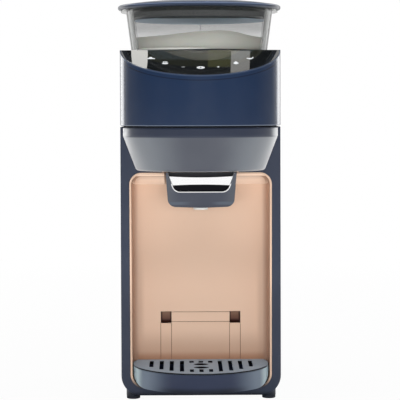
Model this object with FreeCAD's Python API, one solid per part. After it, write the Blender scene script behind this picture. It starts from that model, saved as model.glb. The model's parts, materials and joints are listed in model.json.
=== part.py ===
import FreeCAD, Part
import math
import os

os.makedirs("parts", exist_ok=True)

# A countertop baby formula maker, in millimetres. +Z is up, the front faces -Y, and the
# origin is the middle of the footprint on the table. "Depth" is counted backwards from the
# column's front face.

# ---------------------------------------------------------------- overall places
head_overhang = 65.0        # head in front of the column's face
rear_reach = 225.0          # column's face to the back of the tank dock
face_y = (head_overhang - rear_reach) / 2

# ---------------------------------------------------------------- clearances
seat_gap = 0.2              # under a piece that lifts off
slide_gap = 0.4             # beside a sliding piece
fit_gap = 0.05              # radial, in a bearing
loose_gap = 0.3             # round a piece that turns or slides freely
joint_line = 0.15           # round a fixed insert

# ---------------------------------------------------------------- column and base
column_half = 80.0
column_depth = 152.0
column_low = 4.3
column_high = 273.5
column_wall = 2.5
column_corner = 20.0
column_edge = 1.5
inner_flange = 10.0         # width of the flanges that carry the deck
deck_thick = 1.5
deck_inset = 4.0            # the deck's edge lies this far inside the head's
cable_way_x = 60.0          # hole in the deck for the panel's cable
foot_r = 6.75
foot_height = 3.0
foot_x = 68.3
foot_depth = 12.0
boss_wall = 0.25
cover_thick = 2.5
cover_boss_r = 5.0
cover_boss_length = 30.0
cover_screw_x = 73.0
cover_screw_length = 12.0
cover_screw_rise = 1.5      # lower screws' heads above the dock's rim
cover_screw_high = 262.0
base_plate_half = 58.0
base_plate_inset = 6.0      # inside the column's front and back
base_plate_thick = 2.0
base_screw_x = 50.0
base_screw_front = 24.0     # depths of the screws
base_screw_back = 136.0
deck_screw_x = 73.0
deck_screw_front = 22.0
deck_screw_back = 135.0
deck_screw_length = 6.5
service_depth = 100.0       # front face of the upright service plate
service_half = 56.0
service_high = 205.0
service_thick = 1.5
service_sole = 16.0         # the plate's foot reaches this far forward

# ---------------------------------------------------------------- bottle bay
bay_half_top = 71.2         # outer edge of the liner's lip
bay_half_low = 70.7
bay_high = 228.0
bay_low = 11.5
bay_corner_top = 12.0
bay_corner_low = 14.4
liner_wall = 1.8
liner_proud = 0.5
bay_depth = 47.0
bay_back_corner = 7.0
ceiling_back = 214.0
tunnel_half = 36.2
tunnel_high = 230.5         # underside of the roof over the drawer
window_inner = 29.9
window_outer = 41.0
window_low = 71.0
window_high = 83.0
window_depth = 9.0
hook_slot_low = 18.0
hook_slot_high = 30.0
line_wide = 0.4
line_deep = 0.4
band_low = 72.4
band_high = 82.4

# ---------------------------------------------------------------- head
head_half = 80.0
head_high = 350.0
head_wall = 2.5
head_corner = 16.0
head_edge = 1.0
panel_pitch = 22.0
glass_thick = 2.0
glass_inset = 1.3
glass_skin = 2.0
display_half = 62.0
display_front = 50.0        # ahead of the column's face
display_back = 12.0
board_thick = 1.6
board_inset = 10.5          # board's edge inside the head's outline
chip_pitch = 30.0
chip_half = 6.0
chip_high = 3.0
chip_front = 38.0           # ahead of the column's face
chip_back = 24.0
peg_r = 1.6

# ---------------------------------------------------------------- spout cowl
cowl_half_top = 77.2
cowl_reach_top = 63.0
cowl_half_low = 64.0
cowl_reach_low = 52.0
cowl_break = 265.0          # where the upright band ends
cowl_turn = 6.0
cowl_bottom_edge = 3.5
cowl_wall = 2.2

# ---------------------------------------------------------------- hopper and lid
hopper_depth = 76.0         # its axis behind the column's face
well_depth = 30.0
well_wall = 2.0
well_clear = 0.6
well_lip_r = 75.0
well_lip_high = 1.2
hopper_foot_r = 66.7
hopper_neck_r = 76.0
hopper_wall = 2.5
hopper_floor = 3.0
hopper_height = 71.3        # foot to the underside of the rim flange
flange_r = 81.5
flange_thick = 2.0
outlet_radius = 44.0        # outlet's distance from the hopper's axis
outlet_r = 9.0
collar_r = 13.4
collar_wall = 2.0
collar_high = 2.0
lid_r = 84.6
lid_rim = 4.8
lid_crown = 11.0            # crown above the lid's seat
lid_shell = 2.2
lid_step = 2.6              # from the lid's seat up to its hollow
lid_seat_inner = 70.0
plug_r = 68.0
plug_wall = 2.5
plug_drop = 11.0
lid_seal_r = 72.5
lid_seal_high = 4.0

# ---------------------------------------------------------------- dosing drive
wheel_r = 63.3
wheel_thick = 11.0
pocket_count = 6
pocket_r = 8.0
hub_r = 11.0
hub_high = 3.8
stirrer_half = 57.0
stirrer_wide = 6.0
stirrer_thick = 3.0
scraper_half = 14.0
scraper_thick = 2.0
dog_across = 12.0
dog_high = 11.5
dog_gap = 0.3
shaft_r = 4.0
shoulder_r = 7.2
shoulder_high = 8.0
bush_r = 9.5
boss_r = 12.5
boss_drop = 12.0
gear_module = 1.0
gear_teeth = 48
pinion_teeth = 12
gear_thick = 6.0
gear_backlash = 0.15
pressure_angle = math.radians(20.0)
motor_r = 18.0
motor_length = 38.0
motor_shaft_r = 2.0
motor_bore_depth = 12.0
motor_screw_r = 13.0
motor_screw_length = 7.0
gear_lift = 9.0             # gears above the head's floor
bush_long = 6.0
bush_wall = 3.0
shaft_seal_high = 4.0

# ---------------------------------------------------------------- powder and water outlet
chute_wall = 1.5
chute_r = 11.0
chute_low_r = 9.0
nozzle_depth = 4.0          # funnel axis behind the column's face
chute_low_depth = 8.0
water_x = -14.0
water_r = 3.0
water_bore = 2.0
water_length = 20.0
water_flange = 1.5

# ---------------------------------------------------------------- funnel drawer
drawer_front = 46.0         # ahead of the column's face
drawer_half_top = 34.4
drawer_half_low = 32.0
drawer_high = 229.4
drawer_low = 195.5
drawer_rise = 1.2           # the bottom edge's rise from centre to corner
drawer_corner = 8.0
fascia_thick = 3.0
pull_half_top = 34.4
pull_half_low = 25.5
pull_low = 211.2
pull_corner = 7.5
pull_depth = 10.0
pull_wall = 1.5
carriage_half = 24.0
carriage_wall = 2.0
carriage_high = 226.3
carriage_low = 197.0
carriage_back = 44.0
tongue_wide = 6.0
tongue_thick = 2.0
rail_thick = 2.0
rail_foot = 1.9
chrome_low = 217.0
chrome_high = 226.3
chrome_thick = 1.2
chrome_bow = 1.5
chrome_arch = 1.2           # how far its edges draw in towards the middle
bezel_wide = 1.4
funnel_r = 21.0
funnel_wall = 1.5
funnel_neck_r = 7.4
funnel_neck_high = 203.0
nozzle_low = 191.0
nozzle_bore = 5.0

# ---------------------------------------------------------------- drip tray
tray_r = 68.4
tray_center = 23.1          # centre of the tray's round plan, behind the face
tray_back = 46.0
tray_low = 14.0
tray_high = 33.5
tray_wall = 2.2
tray_corner = 13.0
tray_corner_ease = 0.2      # the rounded outline stands this far outside the round plan
grid_thick = 1.2
grid_seam = 0.3
skirt_inset = 3.0
skirt_high = 3.0
skirt_wall = 1.5
hook_length = 8.0
hook_margin = 1.0
slot_wide = 4.1
slot_back = 34.5
slots = [(19.3, -30.1), (29.6, -25.4), (39.8, -16.4), (50.1, -1.2)]
dash_x = 9.5
dashes = ((28.4, 9.0), (-25.5, 15.0))    # middle and length of each row, behind the face
oval_half = 7.1
oval_deep = 4.6             # half the oval slot's width, front to back
ovals = (13.0, -6.2)

# ---------------------------------------------------------------- water tank and dock
dock_side = 5.0             # dock's side outside the tank's
dock_high = 32.0
dock_rim = 8.0
dock_wall = 2.5
dock_corner = 18.0
dock_foot_x = 58.0
dock_foot_back = 13.0
tank_half = 64.0
tank_space = 2.5            # column's back to the tank's front
tank_inset = 4.0            # tank's back inside the dock's
tank_high = 250.0
tank_wall = 2.2
tank_corner = 14.0
neck_r = 12.0
neck_wall = 2.5
neck_drop = 10.0
socket_r = 16.0
socket_wall = 2.0
socket_floor = 12.0
valve_hole = 6.0
valve_pin_r = 1.6
valve_travel = 3.0
poppet_r = 8.0
cage_r = 10.0
cage_wall = 1.4
cage_high = 10.0
spring_r = 4.5
spring_wire_r = 0.4
spring_gap = 2.5            # coil's centre line inside its seats
spring_half_turns = 8
guide_gap = 15.0            # tank's top to the float rod's top
ear_drop = 8.0
dock_seal_high = 4.0
float_side = 24.0           # float rod's axis inside the tank's side
float_rod_r = 3.0
float_r = 11.0
float_thick = 12.0
lid_plate = 2.6
hinge_r = 3.0
hinge_pin_r = 1.5
knuckle_inner = 20.0
knuckle_outer = 36.0
ear_wide = 6.0

# ---------------------------------------------------------------- pump, heater, boards, inlet
pump_x = -36.0
pump_depth = 122.0
pump_r = 17.0
pump_motor_r = 15.0
pump_motor_high = 38.0
pump_pad = 3.2
pump_wall = 2.0
pump_room = 18.0
rotor_r = 12.5
rotor_thick = 10.0
rotor_hub_r = 4.5
rotor_gap = 2.0             # under the rotor
vane_half = 0.8
pump_shaft_drop = 13.0      # shaft below the housing
pump_cover_thick = 3.0
stub_r = 3.0
stub_bore = 2.0
stub_length = 8.0
hose_r = 4.0
hose_turn = 10.0
hose_rise = 18.0            # feed hose's crest above the pump's stub
outlet_rise = 6.0
sensor_r = 6.0
sensor_drop = 20.0          # sensor below the heater's top
heater_half = 19.0
heater_thick = 27.0
heater_low = 74.0
heater_high = 174.0
power_low = 66.0
power_high = 176.0
power_left = 6.0
power_right = 52.0
power_standoff = 3.0
transformer_side = 30.0
transformer_deep = 22.0
capacitor_r = 7.0
capacitor_deep = 20.0
relay_deep = 15.0
inlet_x = -30.0
inlet_z = 18.0
inlet_half = 13.0
inlet_half_high = 7.0
inlet_depth = 20.0
socket_half = 9.9
socket_half_high = 4.2
inlet_pin_r = 1.2
inlet_pin_x = 4.3
screw_r = 1.5
screw_head_r = 3.0
screw_head = 1.5

# ---------------------------------------------------------------- worked out
axis_y = face_y + hopper_depth
nozzle_y = face_y + nozzle_depth
bay_back_y = face_y + bay_depth
column_back_y = face_y + column_depth
head_low = column_high + deck_thick
well_floor = head_high - well_depth
hopper_low = well_floor + seat_gap
flange_low = hopper_low + hopper_height
hopper_high = flange_low + flange_thick
hopper_slope = (hopper_neck_r - hopper_foot_r) / hopper_height
floor_top = hopper_low + hopper_floor
wheel_low = floor_top + 0.5
wheel_high = wheel_low + wheel_thick
lid_low = hopper_high + seat_gap
gear_r = gear_module * gear_teeth / 2
pinion_r = gear_module * pinion_teeth / 2
motor_x = gear_r + pinion_r
outlet_y = axis_y - outlet_radius
floor_level = column_low + column_wall
plate_top = floor_level + base_plate_thick
tank_front_y = column_back_y + tank_space
tank_back_y = face_y + rear_reach - tank_inset
tank_y = (tank_front_y + tank_back_y) / 2
dock_half = tank_half + dock_side
float_x = tank_half - float_side
cover_screw_low = dock_high + dock_rim + screw_head_r + cover_screw_rise
tank_low = dock_high + seat_gap
tank_floor = tank_low + tank_wall
pitch = math.radians(panel_pitch)

UP = FreeCAD.Vector(0, 0, 1)
BACK = FreeCAD.Vector(0, 1, 0)
RIGHT = FreeCAD.Vector(1, 0, 0)


def vec(x, y, z):
    return FreeCAD.Vector(x, y, z)


def block(x0, x1, y0, y1, z0, z1):
    return Part.makeBox(x1 - x0, y1 - y0, z1 - z0, vec(x0, y0, z0))


def rod(radius, z0, z1, x, y):
    return Part.makeCylinder(radius, z1 - z0, vec(x, y, z0), UP)


def rod_back(radius, y0, y1, x, z):
    return Part.makeCylinder(radius, y1 - y0, vec(x, y0, z), BACK)


def rod_across(radius, x0, x1, y, z):
    return Part.makeCylinder(radius, x1 - x0, vec(x0, y, z), RIGHT)


def ring(outer, inner, z0, z1, x, y):
    return rod(outer, z0, z1, x, y).cut(rod(inner, z0 - 1, z1 + 1, x, y))


def fuse(shapes):
    whole = shapes[0]
    if len(shapes) > 1:
        whole = shapes[0].multiFuse(shapes[1:])
    return whole.removeSplitter()


def save(name, shape):
    shape.exportStep("parts/" + name + ".step")


def rounded_edges(points, radii, closed):
    """Straight edges through the points, with a tangent arc of its own radius at each corner."""
    count = len(points)
    corners = []
    for i, corner in enumerate(points):
        end_point = not closed and i in (0, count - 1)
        if end_point or radii[i] == 0:
            corners.append((corner, None, corner))
            continue
        back = (points[i - 1] - corner).normalize()
        ahead = (points[(i + 1) % count] - corner).normalize()
        half = back.getAngle(ahead) / 2
        reach = radii[i] / math.tan(half)
        inward = (back + ahead).normalize()
        crest = corner + inward * (radii[i] / math.sin(half) - radii[i])
        corners.append((corner + back * reach, crest, corner + ahead * reach))
    edges = []
    for i, (first, crest, last) in enumerate(corners):
        if crest is not None:
            edges.append(Part.Arc(first, crest, last).toShape())
        if closed or i < count - 1:
            following = corners[(i + 1) % count][0]
            if (following - last).Length > 1e-6:
                edges.append(Part.LineSegment(last, following).toShape())
    return edges


def plan_prism(points, radii, z0, z1):
    """Upright prism over a rounded outline given as (x, y) points."""
    corners = [vec(x, y, z0) for x, y in points]
    wire = Part.Wire(rounded_edges(corners, radii, True))
    return Part.Face(wire).extrude(vec(0, 0, z1 - z0))


def front_prism(points, radii, y0, y1):
    """Prism from front to back over a rounded outline given as (x, z) points."""
    corners = [vec(x, y0, z) for x, z in points]
    wire = Part.Wire(rounded_edges(corners, radii, True))
    return Part.Face(wire).extrude(vec(0, y1 - y0, 0))


def side_prism(points, half):
    """Prism across the width over an outline given as (y, z) points."""
    corners = [vec(-half, y, z) for y, z in points]
    wire = Part.Wire(rounded_edges(corners, [0] * len(corners), True))
    return Part.Face(wire).extrude(vec(2 * half, 0, 0))


def turned(points, x, y):
    """Solid of revolution about the upright line at (x, y), from (radius, z) points."""
    wire = Part.makePolygon([vec(r, 0, z) for r, z in points + points[:1]])
    body = Part.Face(wire).revolve(vec(0, 0, 0), UP, 360)
    body.translate(vec(x, y, 0))
    return body


def bow_wire(half, reach, back_y, corner, z):
    """Plan outline: half an ellipse ahead of the column's face, straight sides behind it."""
    bow = Part.Ellipse(vec(0, face_y, z), half, reach)
    edges = [Part.ArcOfEllipse(bow, math.pi, 2 * math.pi).toShape()]
    left = vec(-half, face_y, z)
    right = vec(half, face_y, z)
    if back_y > face_y:
        points = [right, vec(half, back_y, z), vec(-half, back_y, z), left]
        edges += rounded_edges(points, [0, corner, corner, 0], False)
    else:
        edges.append(Part.LineSegment(right, left).toShape())
    return Part.Wire(Part.sortEdges(edges)[0])


def bow_prism(inset, back_y, corner, z0, z1):
    wire = bow_wire(head_half - inset, head_overhang - inset, back_y - inset, corner, z0)
    return Part.Face(wire).extrude(vec(0, 0, z1 - z0))


def loft(wires):
    return Part.makeLoft(wires, True, True)


def pipe(points, radii, outer, bore):
    """Tube along straight runs joined by tangent arcs."""
    path = Part.Wire(rounded_edges(points, radii, False))
    start = points[0]
    heading = (points[1] - start).normalize()

    def swept(radius):
        circle = Part.Wire(Part.makeCircle(radius, start, heading))
        return path.makePipeShell([circle], True, True)

    return swept(outer).cut(swept(bore))


def screw_down(x, y, z, length):
    """Pan-head screw whose head stands on height z."""
    return fuse([rod(screw_head_r, z, z + screw_head, x, y), rod(screw_r, z - length, z + 0.1, x, y)])


def above_panel(drop):
    """Everything above the sloping panel's plane, lowered by drop along its normal."""
    lower = drop / math.cos(pitch)
    far = head_overhang + 20
    points = [
        (face_y - far, head_high - far * math.tan(pitch) - lower),
        (face_y, head_high - lower),
        (face_y, head_high + 30),
        (face_y - far, head_high + 30),
    ]
    return side_prism(points, head_half + 20)


def mouth(inset, y0, y1):
    """The bay's outline seen from the front, inset evenly, as a prism from y0 to y1."""
    points = [
        (-bay_half_low + inset, bay_low + inset),
        (bay_half_low - inset, bay_low + inset),
        (bay_half_top - inset, bay_high - inset),
        (-bay_half_top + inset, bay_high - inset),
    ]
    radii = [bay_corner_low - inset, bay_corner_low - inset, bay_corner_top - inset, bay_corner_top - inset]
    return front_prism(points, radii, y0, y1)


def chute_solid(outer, inner_low):
    """Slanted round duct from the well's outlet down to above the funnel."""
    high = well_floor - well_wall
    low = tunnel_high - 1
    top = Part.Wire(Part.makeCircle(outer, vec(0, outlet_y, high)))
    bottom = Part.Wire(Part.makeCircle(inner_low, vec(0, face_y + chute_low_depth, low)))
    return loft([bottom, top])


def involute_gear(teeth, bore, z0, z1, phase):
    """Spur gear with involute flanks; a tooth points at the phase angle."""
    pitch_r = gear_module * teeth / 2
    base_r = pitch_r * math.cos(pressure_angle)
    tip_r = pitch_r + gear_module
    root_r = pitch_r - 1.25 * gear_module
    half_tooth = (math.pi * gear_module / 2 - gear_backlash) / (2 * pitch_r)
    at_pitch = math.tan(pressure_angle) - pressure_angle
    start_r = max(base_r, root_r)
    flank = []
    steps = 4
    for i in range(steps + 1):
        radius = start_r + (tip_r - start_r) * i / steps
        roll = math.acos(min(1.0, base_r / radius))
        flank.append((radius, half_tooth + at_pitch - (math.tan(roll) - roll)))
    points = []
    for tooth in range(teeth):
        middle = phase + 2 * math.pi * tooth / teeth
        points.append((root_r, middle - flank[0][1]))
        points += [(radius, middle - angle) for radius, angle in flank]
        points += [(radius, middle + angle) for radius, angle in reversed(flank)]
        points.append((root_r, middle + flank[0][1]))
    corners = []
    for radius, angle in points:
        corner = vec(radius * math.cos(angle), radius * math.sin(angle), z0)
        if not corners or (corner - corners[-1]).Length > 1e-4:
            corners.append(corner)
    body = Part.Face(Part.makePolygon(corners + corners[:1])).extrude(vec(0, 0, z1 - z0))
    return body.cut(rod(bore, z0 - 1, z1 + 1, 0, 0))


# ================================================================ column and base

def column_shell():
    outline = [
        (-column_half, column_low),
        (column_half, column_low),
        (column_half, column_high),
        (-column_half, column_high),
    ]
    radii = [column_corner, column_corner, 0, 0]
    body = front_prism(outline, radii, face_y, column_back_y)
    rims = []
    for edge in body.Edges:
        on_front = edge.BoundBox.YMax < face_y + 0.01
        if on_front and edge.BoundBox.ZMin < column_high - 0.01:
            rims.append(edge)
    body = body.makeFillet(column_edge, rims)
    for x in (-foot_x, foot_x):
        boss = rod(foot_r + boss_wall, foot_height, column_low + column_corner, x, face_y + foot_depth)
        body = body.fuse(boss)
    inner = [
        (-column_half + column_wall, column_low + column_wall),
        (column_half - column_wall, column_low + column_wall),
        (column_half - column_wall, column_high - column_wall),
        (-column_half + column_wall, column_high - column_wall),
    ]
    inner_r = column_corner - column_wall
    room = front_prism(inner, [inner_r, inner_r, 0, 0], face_y + column_wall, column_back_y + 1)
    body = body.cut(room)
    bosses = []
    for x in (-cover_screw_x, cover_screw_x):
        for z in (cover_screw_low, cover_screw_high):
            y1 = column_back_y - cover_thick
            bosses.append(rod_back(cover_boss_r, y1 - cover_boss_length, y1, x, z))
    keep = front_prism(outline, radii, face_y, column_back_y)
    body = body.multiFuse([boss.common(keep) for boss in bosses])
    cuts = [mouth(-joint_line, face_y - 1, face_y + column_wall + 1)]
    top_in = column_half - inner_flange
    cuts.append(block(-top_in, top_in, face_y + inner_flange, column_back_y - inner_flange,
                      column_high - column_wall - 1, column_high + 1))
    passage = tunnel_half + liner_wall + joint_line
    cuts.append(block(-passage, passage, face_y - 1, face_y + column_wall + 1,
                      tunnel_high - 10, column_high - 12))
    cuts.append(chute_clearance())
    cuts += cover_screw_holes()
    cuts += deck_screw_holes()
    cuts += base_screw_holes()
    return body.cut(fuse(cuts)).removeSplitter()


def chute_clearance():
    return chute_solid(chute_r + 1.0, chute_low_r + 0.6)


def cover_screw_places():
    return [(x, z) for x in (-cover_screw_x, cover_screw_x) for z in (cover_screw_low, cover_screw_high)]


def cover_screw_holes():
    y0 = column_back_y - cover_screw_length - 2
    return [rod_back(screw_r + 0.1, y0, column_back_y + 1, x, z) for x, z in cover_screw_places()]


def cover_screws():
    screws = []
    for x, z in cover_screw_places():
        head = rod_back(screw_head_r, column_back_y, column_back_y + screw_head, x, z)
        shank = rod_back(screw_r, column_back_y - cover_screw_length, column_back_y + 0.1, x, z)
        screws.append(fuse([head, shank]))
    return Part.makeCompound(screws)


def deck_screw_places():
    return [(x, face_y + depth) for x in (-deck_screw_x, deck_screw_x)
            for depth in (deck_screw_front, deck_screw_back)]


def deck_screw_holes():
    z0 = column_high - column_wall - 1
    z1 = head_low + head_wall + 1
    return [rod(screw_r + 0.1, z0, z1, x, y) for x, y in deck_screw_places()]


def deck_screws():
    z = head_low + head_wall
    return Part.makeCompound([screw_down(x, y, z, deck_screw_length) for x, y in deck_screw_places()])


def base_screw_places():
    return [(x, face_y + depth) for x in (-base_screw_x, base_screw_x)
            for depth in (base_screw_front, base_screw_back)]


def base_screw_holes():
    cuts = []
    for x, y in base_screw_places():
        cuts.append(rod(screw_r + 0.1, column_low - 1, plate_top + 1, x, y))
        cuts.append(rod(screw_head_r + 0.1, column_low - 1, column_low + 1.0, x, y))
    return cuts


def base_screws():
    screws = []
    for x, y in base_screw_places():
        head = rod(screw_head_r, column_low, column_low + 1.0, x, y)
        screws.append(fuse([head, rod(screw_r, column_low + 0.9, plate_top, x, y)]))
    return Part.makeCompound(screws)


def rear_cover():
    half = column_half - column_wall - slide_gap
    low = column_low + column_wall + slide_gap
    high = column_high - column_wall - slide_gap
    corner = column_corner - column_wall - slide_gap
    points = [(-half, low), (half, low), (half, high), (-half, high)]
    body = front_prism(points, [corner, corner, 1, 1], column_back_y - cover_thick, column_back_y)
    return body.cut(fuse(cover_screw_holes() + [hose_hole()]))


def hose_hole():
    return rod_back(hose_r + 0.4, column_back_y - 5, column_back_y + 8, 0, hose_level())


def hose_level():
    return plate_top + hose_r + 1.5


def feet():
    pads = []
    places = [(foot_x, face_y + foot_depth), (dock_foot_x, face_y + rear_reach - dock_foot_back)]
    for x, y in places:
        for side in (-1, 1):
            pad = rod(foot_r, 0, foot_height, side * x, y)
            low_rim = [edge for edge in pad.Edges if edge.BoundBox.ZMax < 0.01]
            pads.append(pad.makeFillet(0.8, low_rim))
    return Part.makeCompound(pads)


def base_plate():
    body = block(-base_plate_half, base_plate_half, face_y + base_plate_inset,
                 column_back_y - base_plate_inset, floor_level, plate_top)
    return body.cut(fuse(base_screw_holes()))


def service_plate():
    y0 = face_y + service_depth
    y1 = y0 + service_thick
    upright = block(-service_half, service_half, y0, y1, plate_top, service_high)
    sole = block(-service_half, service_half, y0 - service_sole, y0 + 0.1, plate_top, plate_top + service_thick)
    port = rod_back(hose_r + 0.5, y0 - 1, y1 + 1, pump_x, pump_outlet_z())
    feed = rod_back(hose_r + 0.5, y0 - 1, y1 + 1, 0, hose_level())
    return fuse([upright, sole]).cut(fuse([port, feed]))


# ================================================================ bay liner

def under_ceiling(raise_by):
    y0 = face_y - 5
    slope = (bay_high - liner_wall - ceiling_back) / bay_depth
    points = [
        (y0, bay_low - 20),
        (bay_back_y + 20, bay_low - 20),
        (bay_back_y + 20, ceiling_back - 20 * slope + raise_by),
        (y0, bay_high - liner_wall + 5 * slope + raise_by),
    ]
    return side_prism(points, bay_half_top + 20)


def bay_plan(inset, back_y):
    half = bay_half_top - inset
    corner = bay_back_corner + liner_wall - inset
    points = [(-half, face_y - 10), (half, face_y - 10), (half, back_y), (-half, back_y)]
    return plan_prism(points, [0, 0, corner, corner], bay_low - 5, bay_high + 20)


def window_rooms(grow, y1):
    rooms = []
    for side in (-1, 1):
        x0 = min(side * (window_inner - grow), side * (window_outer + grow))
        x1 = max(side * (window_inner - grow), side * (window_outer + grow))
        for low, high in ((window_low, window_high), (hook_slot_low, hook_slot_high)):
            rooms.append(block(x0, x1, bay_back_y - 0.5, y1, low - grow, high + grow))
    return rooms


def panel_lines():
    y0 = bay_back_y - 1
    y1 = bay_back_y + line_deep
    lines = []
    for z in (band_low, band_high):
        lines.append(block(-window_inner, window_inner, y0, y1, z - line_wide / 2, z + line_wide / 2))
    for side in (-1, 1):
        for x in (window_inner, window_outer):
            centre = side * x
            lines.append(block(centre - line_wide / 2, centre + line_wide / 2, y0, y1,
                               hook_slot_high, window_low))
    return lines


def bay_liner():
    front_y = face_y - liner_proud
    outer = mouth(0, front_y, bay_back_y + liner_wall)
    outer = outer.common(under_ceiling(liner_wall)).common(bay_plan(0, bay_back_y + liner_wall))
    tunnel_out = block(-tunnel_half - liner_wall, tunnel_half + liner_wall, face_y,
                       bay_back_y + liner_wall, ceiling_back - 5, tunnel_high + liner_wall)
    pockets = window_rooms(liner_wall, bay_back_y + window_depth + liner_wall)
    outer = outer.multiFuse([tunnel_out] + pockets)
    room = mouth(liner_wall, front_y - 1, bay_back_y + 1)
    room = room.common(under_ceiling(0)).common(bay_plan(liner_wall, bay_back_y))
    tunnel_in = block(-tunnel_half, tunnel_half, front_y - 1, bay_back_y, ceiling_back - 10, tunnel_high)
    cuts = [room, tunnel_in, chute_clearance(), water_clearance()]
    cuts += window_rooms(0, bay_back_y + window_depth)
    cuts += panel_lines()
    return outer.cut(fuse(cuts)).removeSplitter()


def water_clearance():
    return rod(water_r + 0.4, tunnel_high - 3, tunnel_high + 30, water_x, face_y + chute_low_depth)


# ================================================================ deck and head

def mid_deck():
    body = bow_prism(deck_inset, column_back_y, head_corner - deck_inset, column_high, head_low)
    cuts = [chute_clearance(), rod(motor_shaft_r + 4, column_high - 1, head_low + 1, motor_x, axis_y)]
    cuts.append(rod(hose_r + 1, column_high - 1, head_low + 1, -cable_way_x, axis_y))
    return body.cut(fuse(cuts + deck_screw_holes() + motor_screw_holes()))


def head_shell():
    body = bow_prism(0, column_back_y, head_corner, head_low, head_high)
    base_rim = [edge for edge in body.Edges if edge.BoundBox.ZMax < head_low + 0.01]
    body = body.makeFillet(head_edge, base_rim)
    body = body.cut(above_panel(0))
    room = bow_prism(head_wall, column_back_y, head_corner - head_wall,
                     head_low + head_wall, head_high - head_wall)
    room = room.cut(above_panel(glass_thick + glass_skin))
    bottom = bow_prism(inner_flange, column_back_y, 6, head_low - 1, head_low + head_wall + 1)
    recess = glass_prism(glass_inset).common(above_panel(glass_thick))
    display = block(-display_half, display_half, face_y - display_front, face_y - display_back,
                    head_low, head_high + 5)
    display = display.common(above_panel(glass_thick + glass_skin + 1)).common(glass_prism(head_wall + 5))
    outer_well_r = hopper_foot_r + well_clear + well_wall + well_depth * hopper_slope
    hole = rod(outer_well_r + joint_line, head_high - head_wall - 1, head_high + 1, 0, axis_y)
    cuts = [room, bottom, recess, display, hole] + deck_screw_holes()
    return body.cut(fuse(cuts)).removeSplitter()


def glass_prism(inset):
    """Upright prism over the panel's outline, from under the slope to above it."""
    wire = bow_wire(head_half - inset, head_overhang - inset, face_y, 0, head_low + 20)
    return Part.Face(wire).extrude(vec(0, 0, head_high - head_low))


def panel_glass():
    body = glass_prism(glass_inset + joint_line).common(above_panel(glass_thick))
    return body.cut(above_panel(0))


def control_board():
    """Board under the display window, parallel to the glass."""
    thick = glass_thick + glass_skin + loose_gap
    plate = glass_prism(board_inset).common(above_panel(thick + board_thick)).cut(above_panel(thick))
    front = face_y - display_front - 3
    plate = plate.common(block(-display_half - 4, display_half + 4, front, face_y - display_back + 4,
                                0, head_high))
    chips = []
    for i in range(4):
        x = chip_pitch * (i - 1.5)
        chip = glass_prism(head_wall).common(above_panel(thick + board_thick + chip_high))
        chip = chip.cut(above_panel(thick + board_thick - 0.1))
        chips.append(chip.common(block(x - chip_half, x + chip_half, face_y - chip_front, face_y - chip_back,
                                       0, head_high)))
    pegs = []
    for x in (-display_half - 2, display_half + 2):
        peg = rod(peg_r, head_low + 20, head_high, x, face_y - display_back - 2)
        pegs.append(peg.common(above_panel(thick + board_thick)).cut(above_panel(glass_thick + glass_skin)))
    return fuse([plate] + chips + pegs)


def hopper_well():
    inner_low = hopper_foot_r + well_clear
    inner_high = inner_low + (well_depth + well_lip_high) * hopper_slope
    outer_high = inner_low + well_wall + well_depth * hopper_slope
    low = well_floor - well_wall
    points = [
        (bush_r, low - boss_drop),
        (boss_r, low - boss_drop),
        (boss_r, low),
        (inner_low + well_wall, low),
        (outer_high, head_high),
        (well_lip_r, head_high),
        (well_lip_r, head_high + well_lip_high),
        (inner_high, head_high + well_lip_high),
        (inner_low, well_floor),
        (bush_r, well_floor),
    ]
    body = turned(points, 0, axis_y)
    outlet = rod(outlet_r + 0.5, low - 1, well_floor + 1, 0, outlet_y)
    recess = rod(outlet_r + 3.5, well_floor - 1, well_floor + 1, 0, outlet_y)
    return body.cut(fuse([outlet, recess]))


def outlet_seal():
    return ring(outlet_r + 3.4, outlet_r + 0.5, well_floor - 1, well_floor + 0.1, 0, outlet_y)


# ================================================================ spout cowl

def cowl_outline(inset, z, share):
    """Cowl's plan at a height; share runs from 0 at the upright band to 1 at the bottom."""
    half = cowl_half_top + (cowl_half_low - cowl_half_top) * share - inset
    reach = cowl_reach_top + (cowl_reach_low - cowl_reach_top) * share - inset
    return bow_wire(half, reach, face_y, 0, z)


def cowl_body(inset, low, high):
    span = cowl_break - tunnel_high
    upper = loft([cowl_outline(inset, cowl_break, 0), cowl_outline(inset, high, 0)])
    lower = loft([cowl_outline(inset, low, (cowl_break - low) / span), cowl_outline(inset, cowl_break, 0)])
    return upper.fuse(lower).removeSplitter()


def bow_rim(body, z):
    """The curved edges of a bowed solid at height z."""
    found = []
    for edge in body.Edges:
        box = edge.BoundBox
        if abs(box.ZMax - z) < 0.01 and abs(box.ZMin - z) < 0.01 and box.YMin < face_y - 1:
            found.append(edge)
    return found


def spout_cowl():
    body = cowl_body(0, tunnel_high, column_high)
    body = body.makeFillet(cowl_turn, bow_rim(body, cowl_break))
    body = body.makeFillet(cowl_bottom_edge, bow_rim(body, tunnel_high))
    body = body.makeFillet(1.5, bow_rim(body, column_high))
    room = cowl_body(cowl_wall, tunnel_high + cowl_wall, column_high - cowl_wall)
    room = fuse([room, room.translated(vec(0, 1, 0))])
    top = cowl_outline(inner_flange, column_high - cowl_wall - 1, 0)
    opening = Part.Face(top).extrude(vec(0, 0, cowl_wall + 2))
    return body.cut(fuse([room, opening, chute_clearance()])).removeSplitter()


# ================================================================ hopper, wheel, lid

def jar_inner(z):
    return hopper_foot_r + (z - hopper_low) * hopper_slope - hopper_wall


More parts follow.
